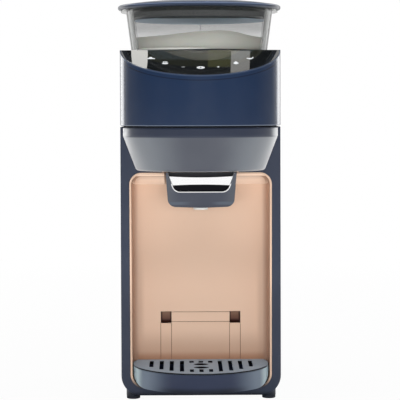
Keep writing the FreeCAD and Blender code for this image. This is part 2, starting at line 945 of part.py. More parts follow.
def hopper_jar():
    hole = shoulder_r + 1.3
    points = [
        (hole, hopper_low),
        (hopper_foot_r, hopper_low),
        (hopper_neck_r, flange_low),
        (flange_r, flange_low),
        (flange_r, hopper_high),
        (jar_inner(hopper_high), hopper_high),
        (jar_inner(floor_top), floor_top),
        (collar_r, floor_top),
        (collar_r, floor_top + collar_high),
        (collar_r - collar_wall, floor_top + collar_high),
        (collar_r - collar_wall, floor_top),
        (hole, floor_top),
    ]
    body = turned(points, 0, axis_y)
    return body.cut(rod(outlet_r, hopper_low - 1, floor_top + 1, 0, outlet_y))


def scraper():
    low = wheel_high + 0.5
    inner_r = jar_inner(low)
    plate = block(-scraper_half, scraper_half, axis_y - inner_r - 5, axis_y - hub_r - 4,
                  low, low + scraper_thick)
    return plate.common(rod(inner_r, low - 1, low + 5, 0, axis_y))


def dog_prism(across, z0, z1):
    """Hexagonal prism on the hopper's axis."""
    corner_r = across / 2 / math.cos(math.pi / 6)
    points = []
    for i in range(6):
        angle = math.pi / 3 * i
        points.append((corner_r * math.cos(angle), axis_y + corner_r * math.sin(angle)))
    return plan_prism(points, [0] * 6, z0, z1)


def dosing_wheel():
    disc = rod(wheel_r, wheel_low, wheel_high, 0, axis_y)
    hub = rod(hub_r, wheel_low, wheel_high + hub_high, 0, axis_y)
    cuts = [dog_prism(dog_across + 2 * dog_gap, wheel_low - 1, hopper_low + dog_high + 1.5)]
    groove_in = collar_r - collar_wall - loose_gap
    cuts.append(ring(collar_r + loose_gap, groove_in, wheel_low - 1,
                     floor_top + collar_high + loose_gap, 0, axis_y))
    for i in range(pocket_count):
        angle = 2 * math.pi * i / pocket_count
        x = outlet_radius * math.cos(angle)
        y = axis_y + outlet_radius * math.sin(angle)
        cuts.append(rod(pocket_r, wheel_low - 1, wheel_high + 1, x, y))
    return fuse([disc, hub]).cut(fuse(cuts))


def stirrer():
    low = wheel_high + hub_high
    cap = rod(hub_r + 1, low, low + stirrer_thick + 1.5, 0, axis_y)
    bar = block(-stirrer_half, stirrer_half, axis_y - stirrer_wide / 2, axis_y + stirrer_wide / 2,
                low, low + stirrer_thick)
    cross = bar.copy()
    cross.rotate(vec(0, axis_y, 0), UP, 90)
    return fuse([cap, bar, cross])


def dome_point(radius, rim_r, rim_z, crown_z):
    """Point on the shallow sphere that is level at its crown and meets the rim's point."""
    rise = crown_z - rim_z
    sphere_r = (rim_r ** 2 + rise ** 2) / (2 * rise)
    return vec(radius, 0, crown_z - sphere_r + math.sqrt(sphere_r ** 2 - radius ** 2))


def lid_cap():
    low = lid_low
    bead_r = lid_rim / 2
    bead_x = lid_r - bead_r
    crown = low + lid_crown
    under = low + lid_step
    inside = crown - lid_shell
    edges = [
        Part.Arc(vec(0, 0, crown), dome_point(lid_r / 2, bead_x, low + lid_rim, crown),
                 vec(bead_x, 0, low + lid_rim)),
        Part.Arc(vec(bead_x, 0, low + lid_rim), vec(lid_r, 0, low + bead_r), vec(bead_x, 0, low)),
        Part.LineSegment(vec(bead_x, 0, low), vec(lid_seat_inner, 0, low)),
        Part.LineSegment(vec(lid_seat_inner, 0, low), vec(lid_seat_inner, 0, under)),
        Part.Arc(vec(lid_seat_inner, 0, under), dome_point(lid_r / 2, lid_seat_inner, under, inside),
                 vec(0, 0, inside)),
        Part.LineSegment(vec(0, 0, inside), vec(0, 0, crown)),
    ]
    body = Part.Face(Part.Wire([edge.toShape() for edge in edges])).revolve(vec(0, 0, 0), UP, 360)
    body.translate(vec(0, axis_y, 0))
    return body


def lid_plug():
    low = lid_low - plug_drop
    top = lid_low + lid_step
    points = [
        (0, low),
        (plug_r, low),
        (plug_r, lid_low),
        (lid_seat_inner, lid_low),
        (lid_seat_inner, top),
        (plug_r - plug_wall, top),
        (plug_r - plug_wall, low + plug_wall),
        (0, low + plug_wall),
    ]
    return turned(points, 0, axis_y)


def lid_seal():
    low = lid_low - plug_drop / 2 - lid_seal_high / 2
    return ring(lid_seal_r, plug_r, low, low + lid_seal_high, 0, axis_y)


# ================================================================ dosing drive

def gear_level():
    return head_low + gear_lift


def drive_shaft():
    low = head_low + 1
    shoulder_low = hopper_low - shoulder_high
    dog_low = hopper_low + 0.3
    shaft = rod(shaft_r, low, shoulder_low + 0.1, 0, axis_y)
    shoulder = rod(shoulder_r, shoulder_low, dog_low, 0, axis_y)
    return fuse([shaft, shoulder, dog_prism(dog_across, dog_low - 0.1, hopper_low + dog_high)])


def drive_gear():
    body = involute_gear(gear_teeth, shaft_r, gear_level(), gear_level() + gear_thick, 0)
    body.translate(vec(0, axis_y, 0))
    return body


def motor_pinion():
    gear = involute_gear(pinion_teeth, motor_shaft_r, gear_level(), gear_level() + gear_thick + 1,
                         math.pi + math.pi / pinion_teeth)
    gear.translate(vec(motor_x, axis_y, 0))
    return gear


def motor_shaft():
    low = column_high - motor_bore_depth + 1
    return rod(motor_shaft_r, low, gear_level() + gear_thick + 2, motor_x, axis_y)


def gear_motor():
    low = column_high - motor_length
    can = rod(motor_r, low, column_high, motor_x, axis_y)
    nose = rod(motor_shaft_r + 3, column_high - 0.1, head_low + 1.5, motor_x, axis_y)
    bore = rod(motor_shaft_r + fit_gap, column_high - motor_bore_depth, head_low + 3, motor_x, axis_y)
    return fuse([can, nose]).cut(fuse([bore] + motor_screw_holes()))


def motor_screw_places():
    return [(motor_x, axis_y - motor_screw_r), (motor_x, axis_y + motor_screw_r)]


def motor_screw_holes():
    z0 = head_low - motor_screw_length - 1.5
    return [rod(screw_r + 0.1, z0, head_low + 1, x, y) for x, y in motor_screw_places()]


def motor_screws():
    return Part.makeCompound([screw_down(x, y, head_low, motor_screw_length) for x, y in motor_screw_places()])


def shaft_bushes():
    lower = ring(shaft_r + bush_wall, shaft_r + fit_gap, head_low, head_low + bush_long, 0, axis_y)
    low = well_floor - well_wall - boss_drop
    upper = ring(bush_r, shaft_r + fit_gap, low, low + bush_long - 1, 0, axis_y)
    return Part.makeCompound([lower, upper])


def shaft_seal():
    high = well_floor - well_wall
    return ring(bush_r, shoulder_r + fit_gap, high - shaft_seal_high, high, 0, axis_y)


def powder_chute():
    return chute_solid(chute_r, chute_low_r).cut(chute_solid(chute_r - chute_wall, chute_low_r - chute_wall))


# ================================================================ funnel drawer

def drawer_rails():
    top = tunnel_high
    inner = carriage_half + tongue_wide + slide_gap
    foot_high = carriage_high - tongue_thick - loose_gap
    y0 = face_y - drawer_front + fascia_thick + pull_depth + 1
    y1 = face_y + carriage_back
    rails = []
    for side in (-1, 1):
        web = sorted((side * inner, side * (inner + rail_thick)))
        foot = sorted((side * (carriage_half + 1.5), side * (inner + rail_thick)))
        upright = block(web[0], web[1], y0, y1, foot_high - rail_foot, top)
        lip = block(foot[0], foot[1], y0, y1, foot_high - rail_foot, foot_high)
        rails.append(fuse([upright, lip]))
    return Part.makeCompound(rails)


def fascia_outline(inset):
    return [
        (-drawer_half_low + inset, drawer_low + drawer_rise + inset),
        (0, drawer_low + inset),
        (drawer_half_low - inset, drawer_low + drawer_rise + inset),
        (drawer_half_top - inset, drawer_high),
        (-drawer_half_top + inset, drawer_high),
    ]


def pull_outline(grow):
    return [
        (-pull_half_low - grow, pull_low - grow),
        (pull_half_low + grow, pull_low - grow),
        (pull_half_top + grow, drawer_high + 5),
        (-pull_half_top - grow, drawer_high + 5),
    ]


def drawer_body():
    y0 = face_y - drawer_front
    y1 = y0 + fascia_thick
    pocket_back = y1 + pull_depth
    fascia = front_prism(fascia_outline(0), [drawer_corner, 0, drawer_corner, 0, 0], y0, y1)
    pocket = front_prism(pull_outline(pull_wall), [pull_corner, pull_corner, 0, 0], y1 - 0.1, pocket_back)
    pocket = pocket.common(front_prism(fascia_outline(0), [drawer_corner, 0, drawer_corner, 0, 0],
                                       y1 - 0.1, pocket_back))
    back_y = face_y + carriage_back
    body = block(-carriage_half, carriage_half, y1 - 0.1, back_y, carriage_low, carriage_high)
    tongue_half = carriage_half + tongue_wide
    tongues = block(-tongue_half, tongue_half, pocket_back + 1, back_y,
                    carriage_high - tongue_thick, carriage_high)
    whole = fuse([fascia, pocket, body, tongues])
    room = block(-carriage_half + carriage_wall, carriage_half - carriage_wall, pocket_back + carriage_wall,
                 back_y - carriage_wall, carriage_low + carriage_wall, carriage_high + 1)
    pull = front_prism(pull_outline(0), [pull_corner, pull_corner, 0, 0], y0 - 1, pocket_back - pull_wall)
    hollow = block(-carriage_half + carriage_wall, carriage_half - carriage_wall, y1, pocket_back,
                   carriage_low + carriage_wall, pull_low - pull_wall)
    neck = rod(funnel_neck_r + slide_gap, carriage_low - 5, carriage_low + 5, 0, nozzle_y)
    return whole.cut(fuse([room, pull, hollow, neck])).removeSplitter()


def pull_insert(z0, z1, y_front, thick, bow):
    """Plate across the pull's window between two heights, bowed forwards in plan."""
    outline = front_prism(pull_outline(-joint_line), [pull_corner, pull_corner, 0, 0], y_front - 9, y_front + 9)
    half = pull_half_top + 1
    arc_front = Part.Arc(vec(-half, y_front + bow, z0), vec(0, y_front, z0), vec(half, y_front + bow, z0))
    back = y_front + bow + thick
    edges = [
        arc_front.toShape(),
        Part.LineSegment(vec(half, y_front + bow, z0), vec(half, back, z0)).toShape(),
        Part.Arc(vec(half, back, z0), vec(0, y_front + thick, z0), vec(-half, back, z0)).toShape(),
        Part.LineSegment(vec(-half, back, z0), vec(-half, y_front + bow, z0)).toShape(),
    ]
    plate = Part.Face(Part.Wire(edges)).extrude(vec(0, 0, z1 - z0))
    return plate.common(outline)


def trim_arch(crown, way):
    """Wide rod across the pull whose crown (way 1) or foot (way -1) is at this height."""
    radius = (pull_half_top ** 2 + chrome_arch ** 2) / (2 * chrome_arch)
    return rod_back(radius, face_y - drawer_front - 9, face_y - drawer_front + 9, 0, crown - way * radius)


def chrome_trim():
    plate = pull_insert(chrome_low, chrome_high, face_y - drawer_front + 0.6, chrome_thick, chrome_bow)
    arches = [trim_arch(chrome_low + chrome_arch, 1), trim_arch(chrome_high - chrome_arch, -1)]
    return plate.cut(fuse(arches))


def trim_lens():
    plate = pull_insert(pull_low, chrome_low + chrome_arch, face_y - drawer_front + 1.2, 1.2, chrome_bow)
    return plate.common(trim_arch(chrome_low + chrome_arch, 1))


def drawer_bezel():
    y0 = face_y - drawer_front - 0.4
    outer = front_prism(pull_outline(bezel_wide / 2), [pull_corner + bezel_wide / 2] * 2 + [0, 0], y0, y0 + 0.4)
    inner = front_prism(pull_outline(0), [pull_corner] * 2 + [0, 0], y0 - 1, y0 + 1)
    return outer.cut(inner).common(block(-40, 40, y0 - 1, y0 + 1, pull_low - 5, chrome_low + 2))


def funnel():
    top = carriage_high - 0.3
    slope_low = funnel_neck_high
    points = [
        (nozzle_bore, nozzle_low),
        (funnel_neck_r, nozzle_low),
        (funnel_neck_r, slope_low - 2),
        (funnel_r, top - 4),
        (funnel_r, top),
        (funnel_r - funnel_wall, top),
        (funnel_r - funnel_wall, top - 4.5),
        (nozzle_bore, slope_low + 1),
    ]
    body = turned(points, 0, nozzle_y)
    flange = ring(funnel_neck_r + 3, funnel_neck_r - 0.5, carriage_low + carriage_wall,
                  carriage_low + carriage_wall + 1.5, 0, nozzle_y)
    return fuse([body, flange])


# ================================================================ drip tray

def tray_plan(inset, z0, z1):
    """Round plan with a straight back, inset evenly."""
    disc = rod(tray_r - inset, z0, z1, 0, face_y + tray_center)
    keep = block(-tray_r, tray_r, face_y + tray_center - tray_r - 1, face_y + tray_back - inset, z0 - 1, z1 + 1)
    return disc.common(keep)


def tray_front(inset):
    half = tray_r + tray_corner_ease - inset
    corner = tray_corner - inset
    points = [
        (-half, tray_low + inset),
        (half, tray_low + inset),
        (half, tray_high + 20),
        (-half, tray_high + 20),
    ]
    return front_prism(points, [corner, corner, 0, 0], face_y - 80, face_y + 80)


def drip_tray():
    top = tray_high - grid_thick - grid_seam
    body = tray_plan(0, tray_low, top).common(tray_front(0))
    room = tray_plan(tray_wall, tray_low, top + 1).common(tray_front(tray_wall))
    body = body.cut(room)
    y1 = face_y + tray_back
    hooks = []
    for side in (-1, 1):
        x = sorted((side * (window_inner + hook_margin), side * (window_outer - hook_margin)))
        hooks.append(block(x[0], x[1], y1 - 1, y1 + hook_length, hook_slot_low + hook_margin + 1,
                           hook_slot_high - hook_margin - 1))
    return fuse([body] + hooks)


def drip_grid():
    low = tray_high - grid_thick
    plate = tray_plan(0, low, tray_high)
    skirt_out = tray_plan(skirt_inset, low - skirt_high, low + 0.1)
    skirt_in = tray_plan(skirt_inset + skirt_wall, low - skirt_high - 1, low)
    body = fuse([plate, skirt_out.cut(skirt_in)])
    cuts = []
    for x, front in slots:
        for side in (-1, 1):
            cuts.append(block(side * x - slot_wide / 2, side * x + slot_wide / 2, face_y + front,
                              face_y + slot_back, low - 1, tray_high + 1))
    for x in (-dash_x, 0, dash_x):
        for depth, length in dashes:
            cuts.append(block(x - slot_wide / 2, x + slot_wide / 2, face_y + depth - length / 2,
                              face_y + depth + length / 2, low - 1, tray_high + 1))
    oval_r = (oval_half ** 2 + oval_deep ** 2) / (2 * oval_deep)
    for depth in ovals:
        sides = [rod(oval_r, low - 1, tray_high + 1, 0, face_y + depth + way * (oval_r - oval_deep))
                 for way in (-1, 1)]
        cuts.append(sides[0].common(sides[1]))
    return body.cut(fuse(cuts))


# ================================================================ dock and tank

def dock_plan(inset, z0, z1):
    half = dock_half - inset
    corner = dock_corner - inset
    y0 = column_back_y + inset
    y1 = face_y + rear_reach - inset
    points = [(-half, y0), (half, y0), (half, y1), (-half, y1)]
    return plan_prism(points, [0, 0, corner, corner], z0, z1)


def tank_dock():
    body = dock_plan(0, column_low, dock_high + dock_rim)
    room = dock_plan(dock_wall, column_low + dock_wall, dock_high - dock_wall)
    seat = dock_plan(dock_wall, dock_high, dock_high + dock_rim + 1)
    body = body.cut(fuse([room, seat]))
    wall_y = column_back_y + dock_wall
    socket = rod(socket_r, socket_floor, dock_high, 0, tank_y)
    bosses = []
    for side in (-1, 1):
        y = face_y + rear_reach - dock_foot_back
        bosses.append(rod(foot_r + boss_wall, foot_height, column_low + 1, side * dock_foot_x, y))
    body = body.multiFuse([socket] + bosses)
    cuts = [rod(socket_r - socket_wall, socket_floor + socket_wall, dock_high + 1, 0, tank_y)]
    cuts.append(rod_back(stub_bore, wall_y - 1, tank_y, 0, hose_level()))
    cuts.append(hose_hole())
    y1 = face_y + rear_reach
    cuts.append(block(inlet_x - inlet_half - joint_line, inlet_x + inlet_half + joint_line, y1 - 5, y1 + 1,
                      inlet_z - inlet_half_high - joint_line, inlet_z + inlet_half_high + joint_line))
    body = body.cut(fuse(cuts))
    pin_top = tank_low - neck_drop + neck_wall - 0.5
    pin = rod(valve_pin_r, socket_floor + 1, pin_top + valve_travel, 0, tank_y)
    return fuse([body, pin])


def dock_seal():
    low = dock_high - 2 * dock_seal_high
    return ring(socket_r - socket_wall, neck_r + fit_gap, low, low + dock_seal_high, 0, tank_y)


def water_tank():
    y0 = tank_front_y
    y1 = tank_back_y
    points = [(-tank_half, y0), (tank_half, y0), (tank_half, y1), (-tank_half, y1)]
    body = plan_prism(points, [tank_corner] * 4, tank_low, tank_high)
    inner = [(-tank_half + tank_wall, y0 + tank_wall), (tank_half - tank_wall, y0 + tank_wall),
             (tank_half - tank_wall, y1 - tank_wall), (-tank_half + tank_wall, y1 - tank_wall)]
    room = plan_prism(inner, [tank_corner - tank_wall] * 4, tank_floor, tank_high + 1)
    neck = rod(neck_r, tank_low - neck_drop, tank_low + 0.1, 0, tank_y)
    body = body.cut(room).fuse(neck)
    throat = rod(neck_r - neck_wall, tank_low - neck_drop + neck_wall, tank_floor + 1, 0, tank_y)
    mouth_hole = rod(valve_hole, tank_low - neck_drop - 1, tank_floor, 0, tank_y)
    guide = rod(float_rod_r, tank_floor - 0.1, tank_high - guide_gap, float_x, tank_y)
    body = body.cut(fuse([throat, mouth_hole])).fuse(guide)
    ears = []
    for side in (-1, 1):
        x = sorted((side * (knuckle_outer + slide_gap), side * (knuckle_outer + slide_gap + ear_wide)))
        ears.append(rod_across(hinge_r, x[0], x[1], hinge_y(), hinge_z()))
        ears.append(block(x[0], x[1], y1 - 1, hinge_y() + hinge_r, tank_high - ear_drop, hinge_z() - 1))
    body = body.multiFuse(ears)
    return body.cut(rod_across(hinge_pin_r, -tank_half, tank_half, hinge_y(), hinge_z())).removeSplitter()


def hinge_y():
    return tank_back_y + 0.7


def hinge_z():
    return tank_high + hinge_r + 0.3


def tank_lid():
    low = tank_high + loose_gap
    y0 = tank_front_y
    y1 = tank_back_y - 3
    points = [(-tank_half, y0), (tank_half, y0), (tank_half, y1), (-tank_half, y1)]
    plate = plan_prism(points, [tank_corner, tank_corner, tank_corner, tank_corner], low, low + lid_plate)
    inset = tank_wall + 1.0
    skirt_points = [(-tank_half + inset, y0 + inset), (tank_half - inset, y0 + inset),
                    (tank_half - inset, y1 - inset), (-tank_half + inset, y1 - inset)]
    skirt = plan_prism(skirt_points, [tank_corner - inset] * 4, low - 3, low + 0.1)
    hollow = plan_prism([(-tank_half + inset + 2, y0 + inset + 2), (tank_half - inset - 2, y0 + inset + 2),
                         (tank_half - inset - 2, y1 - inset - 2), (-tank_half + inset + 2, y1 - inset - 2)],
                        [tank_corner - inset - 2] * 4, low - 4, low)
    knuckles = []
    for side in (-1, 1):
        x = sorted((side * knuckle_inner, side * knuckle_outer))
        knuckles.append(rod_across(hinge_r, x[0], x[1], hinge_y(), hinge_z()))
        knuckles.append(block(x[0], x[1], y1 - 4, hinge_y(), hinge_z() - 1.6, hinge_z() + hinge_r - 1.5))
    body = fuse([plate, skirt.cut(hollow)] + knuckles)
    pin_reach = knuckle_outer + 1
    pin_hole = rod_across(hinge_pin_r + fit_gap, -pin_reach, pin_reach, hinge_y(), hinge_z())
    return body.cut(pin_hole)


def tank_hinge_pin():
    reach = knuckle_outer + slide_gap + ear_wide
    return rod_across(hinge_pin_r, -reach, reach, hinge_y(), hinge_z())


def valve_cage():
    low = tank_floor
    cup = ring(cage_r, cage_r - cage_wall, low, low + cage_high, 0, tank_y)
    cap = ring(cage_r, valve_pin_r + loose_gap, low + cage_high - 2, low + cage_high, 0, tank_y)
    body = fuse([cup, cap])
    slots_cut = []
    for angle in (45, 135):
        bar = block(-cage_r - 1, cage_r + 1, -2.5, 2.5, low + 1, low + cage_high - 3)
        bar.rotate(vec(0, 0, 0), UP, angle)
        bar.translate(vec(0, tank_y, 0))
        slots_cut.append(bar)
    return body.cut(fuse(slots_cut))


def poppet_level():
    """Underside of the open valve's disc, over its seat at the bottom of the neck."""
    return tank_low - neck_drop + neck_wall + valve_travel + 0.2


def valve_poppet():
    low = poppet_level()
    disc = rod(poppet_r, low, low + 2, 0, tank_y)
    stem = rod(valve_pin_r, low + 1, tank_floor + cage_high + 4, 0, tank_y)
    return fuse([disc, stem])


def valve_spring():
    """Coil of half-turn arcs, each tilted so that the ends meet level."""
    low = poppet_level() + spring_gap
    high = tank_floor + cage_high - spring_gap
    rise = (high - low) / spring_half_turns
    tilt = math.atan2(rise / 2, spring_r)
    section = Part.Wire(Part.makeCircle(spring_wire_r, vec(math.hypot(rise / 2, spring_r), 0, 0), BACK))
    arcs = []
    for i in range(spring_half_turns):
        arc = Part.Face(section).revolve(vec(0, 0, 0), UP, 180)
        side = 1 if i % 2 == 0 else -1
        arc.rotate(vec(0, 0, 0), UP, 0 if side == 1 else 180)
        arc.rotate(vec(0, 0, 0), BACK, math.degrees(side * tilt))
        arc.translate(vec(0, tank_y, low + rise * (i + 0.5)))
        arcs.append(arc)
    return fuse(arcs)


def level_float():
    low = tank_floor + loose_gap
    return ring(float_r, float_rod_r + 0.5, low, low + float_thick, float_x, tank_y)


# ================================================================ pump, heater, hoses, boards

def pump_y():
    return face_y + pump_depth


def pump_low():
    return plate_top + pump_pad + pump_motor_high


def pump_outlet_z():
    return pump_low() + pump_wall + pump_room / 2


def pump_mount():
    return rod(pump_motor_r + 1, plate_top, plate_top + pump_pad, pump_x, pump_y())


def pump_motor():
    body = rod(pump_motor_r, plate_top + pump_pad, pump_low(), pump_x, pump_y())
    bore_low = pump_low() - pump_shaft_drop - 1
    return body.cut(rod(motor_shaft_r + fit_gap, bore_low, pump_low() + 1, pump_x, pump_y()))


def pump_housing():
    low = pump_low()
    high = low + pump_wall + pump_room
    cup = rod(pump_r, low, high, pump_x, pump_y())
    room = rod(pump_r - pump_wall, low + pump_wall, high + 1, pump_x, pump_y())
    bore = rod(motor_shaft_r + loose_gap, low - 1, high, pump_x, pump_y())
    y0 = face_y + service_depth + service_thick + 0.5
    stub = rod_back(stub_r, y0, pump_y() - pump_r + 1, pump_x, pump_outlet_z())
    port = rod_back(stub_bore, y0 - 1, pump_y() - pump_r + 3, pump_x, pump_outlet_z())
    return fuse([cup.cut(fuse([room, bore])), stub]).cut(port)


def pump_cover():
    low = pump_low() + pump_wall + pump_room
    top = low + pump_cover_thick
    plate = rod(pump_r, low, top, pump_x, pump_y())
    stub = rod(stub_r, top - 0.1, top + stub_length, pump_x, pump_y())
    return fuse([plate, stub]).cut(rod(stub_bore, low - 1, top + stub_length + 9, pump_x, pump_y()))


def pump_rotor():
    low = pump_low() + pump_wall + rotor_gap
    hub = rod(rotor_hub_r, low, low + rotor_thick, pump_x, pump_y())
    shaft = rod(motor_shaft_r, pump_low() - pump_shaft_drop, low + 1, pump_x, pump_y())
    vanes = []
    for i in range(6):
        vane = block(0, rotor_r, -vane_half, vane_half, low, low + rotor_thick)
        vane.rotate(vec(0, 0, 0), UP, 60 * i)
        vane.translate(vec(pump_x, pump_y(), 0))
        vanes.append(vane)
    return fuse([hub, shaft] + vanes)


def heater_y():
    return face_y + service_depth - heater_thick / 2


def heater_block():
    y1 = face_y + service_depth
    body = block(pump_x - heater_half, pump_x + heater_half, y1 - heater_thick, y1, heater_low, heater_high)
    lower = rod(stub_r, heater_low - stub_length, heater_low + 0.1, pump_x, heater_y())
    upper = rod(stub_r, heater_high - 0.1, heater_high + stub_length, pump_x, heater_y())
    bore = rod(stub_bore, heater_low - 20, heater_high + 20, pump_x, heater_y())
    return fuse([body, lower, upper]).cut(bore)


def temperature_sensor():
    y0 = face_y + service_depth - heater_thick
    z = heater_high - sensor_drop
    puck = rod_back(sensor_r, y0 - 4, y0, pump_x, z)
    tabs = block(pump_x - sensor_r / 2, pump_x + sensor_r / 2, y0 - 9, y0 - 3.9, z - 0.4, z + 0.4)
    return fuse([puck, tabs])


def hose_feed():
    """From the dock's socket to the pump's top."""
    z = hose_level()
    cover_top = pump_low() + pump_wall + pump_room + pump_cover_thick
    rise_y = column_back_y - cover_thick - hose_turn - 2
    top = cover_top + stub_length + hose_rise
    points = [
        vec(0, tank_y - socket_r, z),
        vec(0, rise_y, z),
        vec(0, rise_y, top),
        vec(pump_x, pump_y(), top),
        vec(pump_x, pump_y(), cover_top + stub_length),
    ]
    return pipe(points, [0, hose_turn, hose_turn, hose_turn, 0], hose_r, stub_bore)


def hose_link():
    """From the pump's outlet through the service plate to the heater's foot."""
    z = pump_outlet_z()
    points = [
        vec(pump_x, face_y + service_depth + service_thick + 0.5, z),
        vec(pump_x, heater_y(), z),
        vec(pump_x, heater_y(), heater_low - stub_length),
    ]
    reach = heater_low - stub_length - z
    return pipe(points, [0, min(6, reach * 0.8), 0], hose_r, stub_bore)


def hose_outlet():
    """From the heater's top to the water nozzle above the funnel."""
    high = tunnel_high + water_length + outlet_rise
    y = face_y + chute_low_depth
    points = [
        vec(pump_x, heater_y(), heater_high + stub_length),
        vec(pump_x, heater_y(), high),
        vec(pump_x, y, high),
        vec(water_x, y, high),
        vec(water_x, y, tunnel_high + water_length - 1),
    ]
    return pipe(points, [0, 10, 8, 6, 0], water_r + 0.5, stub_bore)


def water_nozzle():
    y = face_y + chute_low_depth
    low = tunnel_high - 1
    tube = ring(water_r, water_bore, low, tunnel_high + water_length - 1, water_x, y)
    top = tunnel_high + liner_wall
    return fuse([tube, ring(water_r + water_flange, water_bore, top, top + 1.5, water_x, y)])


def power_board():
    y0 = face_y + service_depth + service_thick
    board_y = y0 + power_standoff
    plate = block(power_left, power_right, board_y, board_y + board_thick, power_low, power_high)
    pegs = []
    for x in (power_left + 4, power_right - 4):
        for z in (power_low + 4, power_high - 4):
            pegs.append(rod_back(2, y0, board_y + 0.1, x, z))
    y1 = board_y + board_thick - 0.1
    x0 = power_left + 6
    z0 = power_low + 12
    transformer = block(x0, x0 + transformer_side, y1, y1 + transformer_deep, z0, z0 + transformer_side)
    capacitor = rod_back(capacitor_r, y1, y1 + capacitor_deep, power_right - 10, power_low + 62)
    relay = block(x0, x0 + 16, y1, y1 + relay_deep, power_low + 60, power_low + 80)
    socket = block(power_left + 10, power_left + 34, y1, y1 + 9, power_high - 16, power_high - 8)
    return fuse([plate, transformer, capacitor, relay, socket] + pegs)


def mains_inlet():
    y1 = face_y + rear_reach
    y0 = y1 - inlet_depth
    body = block(inlet_x - inlet_half, inlet_x + inlet_half, y0, y1, inlet_z - inlet_half_high,
                 inlet_z + inlet_half_high)
    wall_y = y1 - dock_wall
    flange = block(inlet_x - inlet_half - 2, inlet_x + inlet_half + 2, wall_y - 2, wall_y,
                   inlet_z - inlet_half_high - 2, inlet_z + inlet_half_high + 2)
    points = [
        (inlet_x - socket_half, inlet_z - socket_half_high),
        (inlet_x + socket_half, inlet_z - socket_half_high),
        (inlet_x + socket_half, inlet_z + socket_half_high),
        (inlet_x - socket_half, inlet_z + socket_half_high),
    ]
    socket = front_prism(points, [4, 4, 4, 4], y0 + 4, y1 + 1)
    return fuse([body, flange]).cut(socket)


def inlet_pins():
    y0 = face_y + rear_reach - inlet_depth + 4
    y1 = face_y + rear_reach - 3
    return Part.makeCompound([rod_back(inlet_pin_r, y0, y1, inlet_x + side * inlet_pin_x, inlet_z)
                              for side in (-1, 1)])


# ================================================================ files

PIECES = {
    "column_shell": column_shell,
    "rear_cover": rear_cover,
    "cover_screws": cover_screws,
    "deck_screws": deck_screws,
    "base_screws": base_screws,
    "feet": feet,
    "base_plate": base_plate,
    "service_plate": service_plate,
    "bay_liner": bay_liner,
    "mid_deck": mid_deck,
    "head_shell": head_shell,
    "panel_glass": panel_glass,
    "control_board": control_board,
    "hopper_well": hopper_well,
    "outlet_seal": outlet_seal,
    "spout_cowl": spout_cowl,
    "hopper_jar": hopper_jar,
    "scraper": scraper,
    "dosing_wheel": dosing_wheel,
    "stirrer": stirrer,
    "lid_cap": lid_cap,
    "lid_plug": lid_plug,
    "lid_seal": lid_seal,
    "drive_shaft": drive_shaft,
    "drive_gear": drive_gear,
    "motor_pinion": motor_pinion,
    "motor_shaft": motor_shaft,
    "gear_motor": gear_motor,
    "motor_screws": motor_screws,
    "shaft_bushes": shaft_bushes,
    "shaft_seal": shaft_seal,
    "powder_chute": powder_chute,
    "drawer_rails": drawer_rails,
    "drawer_body": drawer_body,
    "chrome_trim": chrome_trim,
    "trim_lens": trim_lens,
    "drawer_bezel": drawer_bezel,
    "funnel": funnel,
    "drip_tray": drip_tray,
    "drip_grid": drip_grid,
    "tank_dock": tank_dock,
    "dock_seal": dock_seal,
    "water_tank": water_tank,
    "tank_lid": tank_lid,
    "tank_hinge_pin": tank_hinge_pin,
    "valve_cage": valve_cage,
    "valve_poppet": valve_poppet,
    "valve_spring": valve_spring,
    "level_float": level_float,
    "pump_mount": pump_mount,
    "pump_motor": pump_motor,
    "pump_housing": pump_housing,
    "pump_cover": pump_cover,
    "pump_rotor": pump_rotor,
    "heater_block": heater_block,
    "temperature_sensor": temperature_sensor,
    "hoses": lambda: Part.makeCompound([hose_feed(), hose_link(), hose_outlet()]),
    "water_nozzle": water_nozzle,
    "power_board": power_board,
    "mains_inlet": lambda: Part.makeCompound([mains_inlet()] + inlet_pins().Solids),
}

for piece_name, make_piece in PIECES.items():
    save(piece_name, make_piece())
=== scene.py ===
import json
import math

import bmesh
import bpy
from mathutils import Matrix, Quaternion, Vector


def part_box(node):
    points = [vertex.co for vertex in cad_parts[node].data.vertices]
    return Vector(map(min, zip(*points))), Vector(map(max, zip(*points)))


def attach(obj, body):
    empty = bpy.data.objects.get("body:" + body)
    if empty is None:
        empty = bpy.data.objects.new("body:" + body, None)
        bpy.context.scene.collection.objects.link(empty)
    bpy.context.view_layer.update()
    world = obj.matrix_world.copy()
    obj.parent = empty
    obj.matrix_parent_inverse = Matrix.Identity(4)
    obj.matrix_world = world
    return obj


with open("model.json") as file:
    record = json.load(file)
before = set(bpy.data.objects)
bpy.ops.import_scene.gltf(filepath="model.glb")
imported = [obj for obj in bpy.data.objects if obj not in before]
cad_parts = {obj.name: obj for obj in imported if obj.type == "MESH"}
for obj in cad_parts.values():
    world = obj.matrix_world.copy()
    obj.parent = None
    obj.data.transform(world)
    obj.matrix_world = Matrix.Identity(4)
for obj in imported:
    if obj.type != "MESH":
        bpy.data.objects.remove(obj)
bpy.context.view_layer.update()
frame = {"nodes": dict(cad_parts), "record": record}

scene = bpy.context.scene

# ---------------------------------------------------------------- places read from the frame
head_low, head_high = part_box("head_shell")
jar_low, jar_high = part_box("hopper_jar")
face_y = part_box("column_shell")[0].y
bay_front_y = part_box("bay_liner")[0].y
drawer_front_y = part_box("drawer_body")[0].y
lid_foot_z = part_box("lid_cap")[0].z
plug_foot_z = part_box("lid_plug")[0].z
stirrer_top_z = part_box("stirrer")[1].z
jar_axis_y = (jar_low.y + jar_high.y) / 2
panel_pitch = math.radians(22.0)
panel_slope = math.tan(panel_pitch)
panel_back_y = face_y
panel_back_z = head_high.z


def linked(name, data):
    """A new object of the data, linked to the scene."""
    thing = bpy.data.objects.new(name, data)
    scene.collection.objects.link(thing)
    return thing


